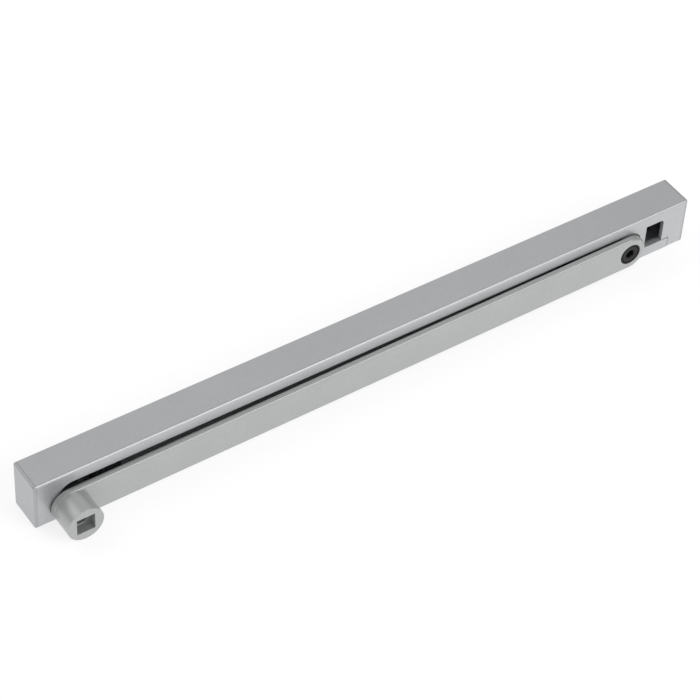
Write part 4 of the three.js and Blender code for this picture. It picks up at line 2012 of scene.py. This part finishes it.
# ------------------------------------------------------------------------------------ studio
def direction(azimuth: float, elevation: float) -> Vector:
    """Which way a light or camera lies. Azimuth 0 is in front of the rail, and 90 past its right end.

    Args:
        azimuth: The angle round the object, in degrees.
        elevation: The angle above the floor, in degrees.

    Returns:
        The direction, with a length of 1.
    """
    a, e = math.radians(azimuth), math.radians(elevation)
    return Vector((math.sin(a) * math.cos(e), -math.cos(a) * math.cos(e), math.sin(e)))


@dataclass(frozen=True)
class Softbox:
    """A rectangular area light that looks at the object's middle. Sizes are in metres, power in watts."""

    name: str
    azimuth: float
    elevation: float
    distance: float
    width: float
    height: float
    power: float

    def build(self) -> None:
        """Adds the light to the scene."""
        data = bpy.data.lights.new(self.name, "AREA")
        data.shape = "RECTANGLE"
        data.size = self.width
        data.size_y = self.height
        data.energy = self.power
        lamp = bpy.data.objects.new(self.name, data)
        out = direction(self.azimuth, self.elevation)
        lamp.location = out * self.distance
        lamp.rotation_mode = "QUATERNION"
        lamp.rotation_quaternion = out.to_track_quat("Z", "Y")
        bpy.context.scene.collection.objects.link(lamp)


@dataclass(frozen=True)
class Studio:
    """A white sweep under an even white sky, softboxes, and the camera."""

    floor_size: float = 40.0
    floor_glow: float = 0.72
    paper: str = "#a8a8a8"
    fibre_mm: float = 3
    fibre_height_mm: float = 0.05
    sky: float = 0.55
    softboxes: tuple[Softbox, ...] = (
        Softbox(
            "key_softbox", azimuth=25, elevation=36, distance=2.6, width=1.5, height=1.5, power=18.0
        ),
        Softbox(
            "left_back_softbox", azimuth=-142, elevation=40, distance=1.8, width=1.1, height=1.1, power=3.4
        ),
        Softbox(
            "right_back_softbox", azimuth=150, elevation=50, distance=1.8, width=1.2, height=1.2, power=0.9
        ),
    )
    azimuth: float = -36.1495
    elevation: float = 45.1338
    roll: float = 3.5733
    distance: float = 1.5539
    aim: tuple[float, float, float] = (-0.006918, -0.004039, -0.007308)
    lens: float = 141.078
    sensor_width: float = 36

    def floor(self, level: float) -> None:
        """Adds the floor, a white sheet that glows a little as a lit sweep does.

        Args:
            level: Its height, in metres.
        """
        half = self.floor_size / 2
        bm = bmesh.new()
        corners = [bm.verts.new((x * half, y * half, level)) for x, y in ((-1, -1), (1, -1), (1, 1), (-1, 1))]
        bm.faces.new(corners)
        sheet = object_of(bm, "studio_floor")
        paper = blank_material("white_paper_sweep")
        tree = paper.node_tree
        place = add_node(tree, "ShaderNodeTexCoord").outputs["Object"]
        fibre = add_node(
            tree,
            "ShaderNodeTexNoise",
            None,
            {"Vector": place, "Scale": per_metre(self.fibre_mm), "Detail": 3.0},
        )
        relief = add_node(
            tree,
            "ShaderNodeBump",
            None,
            {"Height": fibre.outputs["Fac"], "Strength": 0.2, "Distance": self.fibre_height_mm * MM},
        )
        shader = add_node(
            tree,
            "ShaderNodeBsdfPrincipled",
            None,
            {
                "Base Color": srgb(self.paper),
                "Roughness": 0.9,
                "Specular IOR Level": 0.1,
                "Emission Color": srgb("#ffffff"),
                "Emission Strength": self.floor_glow,
                "Normal": relief.outputs["Normal"],
            },
        )
        add_node(tree, "ShaderNodeOutputMaterial", None, {"Surface": shader.outputs["BSDF"]})
        sheet.data.materials.append(paper)
        sheet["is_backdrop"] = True

    def sky_light(self) -> None:
        """Sets the even white surroundings."""
        world = bpy.data.worlds.new("white_studio")
        world.use_nodes = True
        background = world.node_tree.nodes["Background"]
        background.inputs["Color"].default_value = srgb("#ffffff")
        background.inputs["Strength"].default_value = self.sky
        bpy.context.scene.world = world
        bpy.context.scene.view_settings.view_transform = "Standard"

    def camera(self) -> None:
        """Adds the camera, which looks at its aim; the roll lifts the view's right side."""
        back = direction(self.azimuth, self.elevation)
        data = bpy.data.cameras.new("studio_camera")
        data.lens = self.lens
        data.sensor_width = self.sensor_width
        data.clip_start, data.clip_end = 0.05, 20
        eye = bpy.data.objects.new("studio_camera", data)
        eye.location = Vector(self.aim) + back * self.distance
        level = (-back).to_track_quat("-Z", "Y").to_matrix()
        eye.rotation_euler = (level @ Matrix.Rotation(math.radians(self.roll), 3, "Z")).to_euler()
        bpy.context.scene.collection.objects.link(eye)
        bpy.context.scene.camera = eye

    def build(self, level: float) -> None:
        """Adds the floor, the surroundings, the softboxes and the camera.

        Args:
            level: The floor's height, in metres.
        """
        self.floor(level)
        self.sky_light()
        for box in self.softboxes:
            box.build()
        self.camera()


TUBE = tube_shape()
THREAD = thread_shape()
TEETH = rib_shape()


def corners() -> list[list[float]]:
    """The shown object's lowest and highest corner as plain lists."""
    return [list(corner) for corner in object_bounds()]


def main() -> None:
    logging.basicConfig(level=logging.INFO, format="%(message)s")
    cad_box = corners()
    rail = Rail()
    slider = Slider(rail)
    pivot_screw = PivotScrew(slider)
    rail.build()
    TravelStop(rail).build()
    slider.build()
    pivot_screw.build()
    LeverArm(pivot_screw).build()
    Studio().build(cad_box[0][2])


if __name__ == "__main__":
    main()
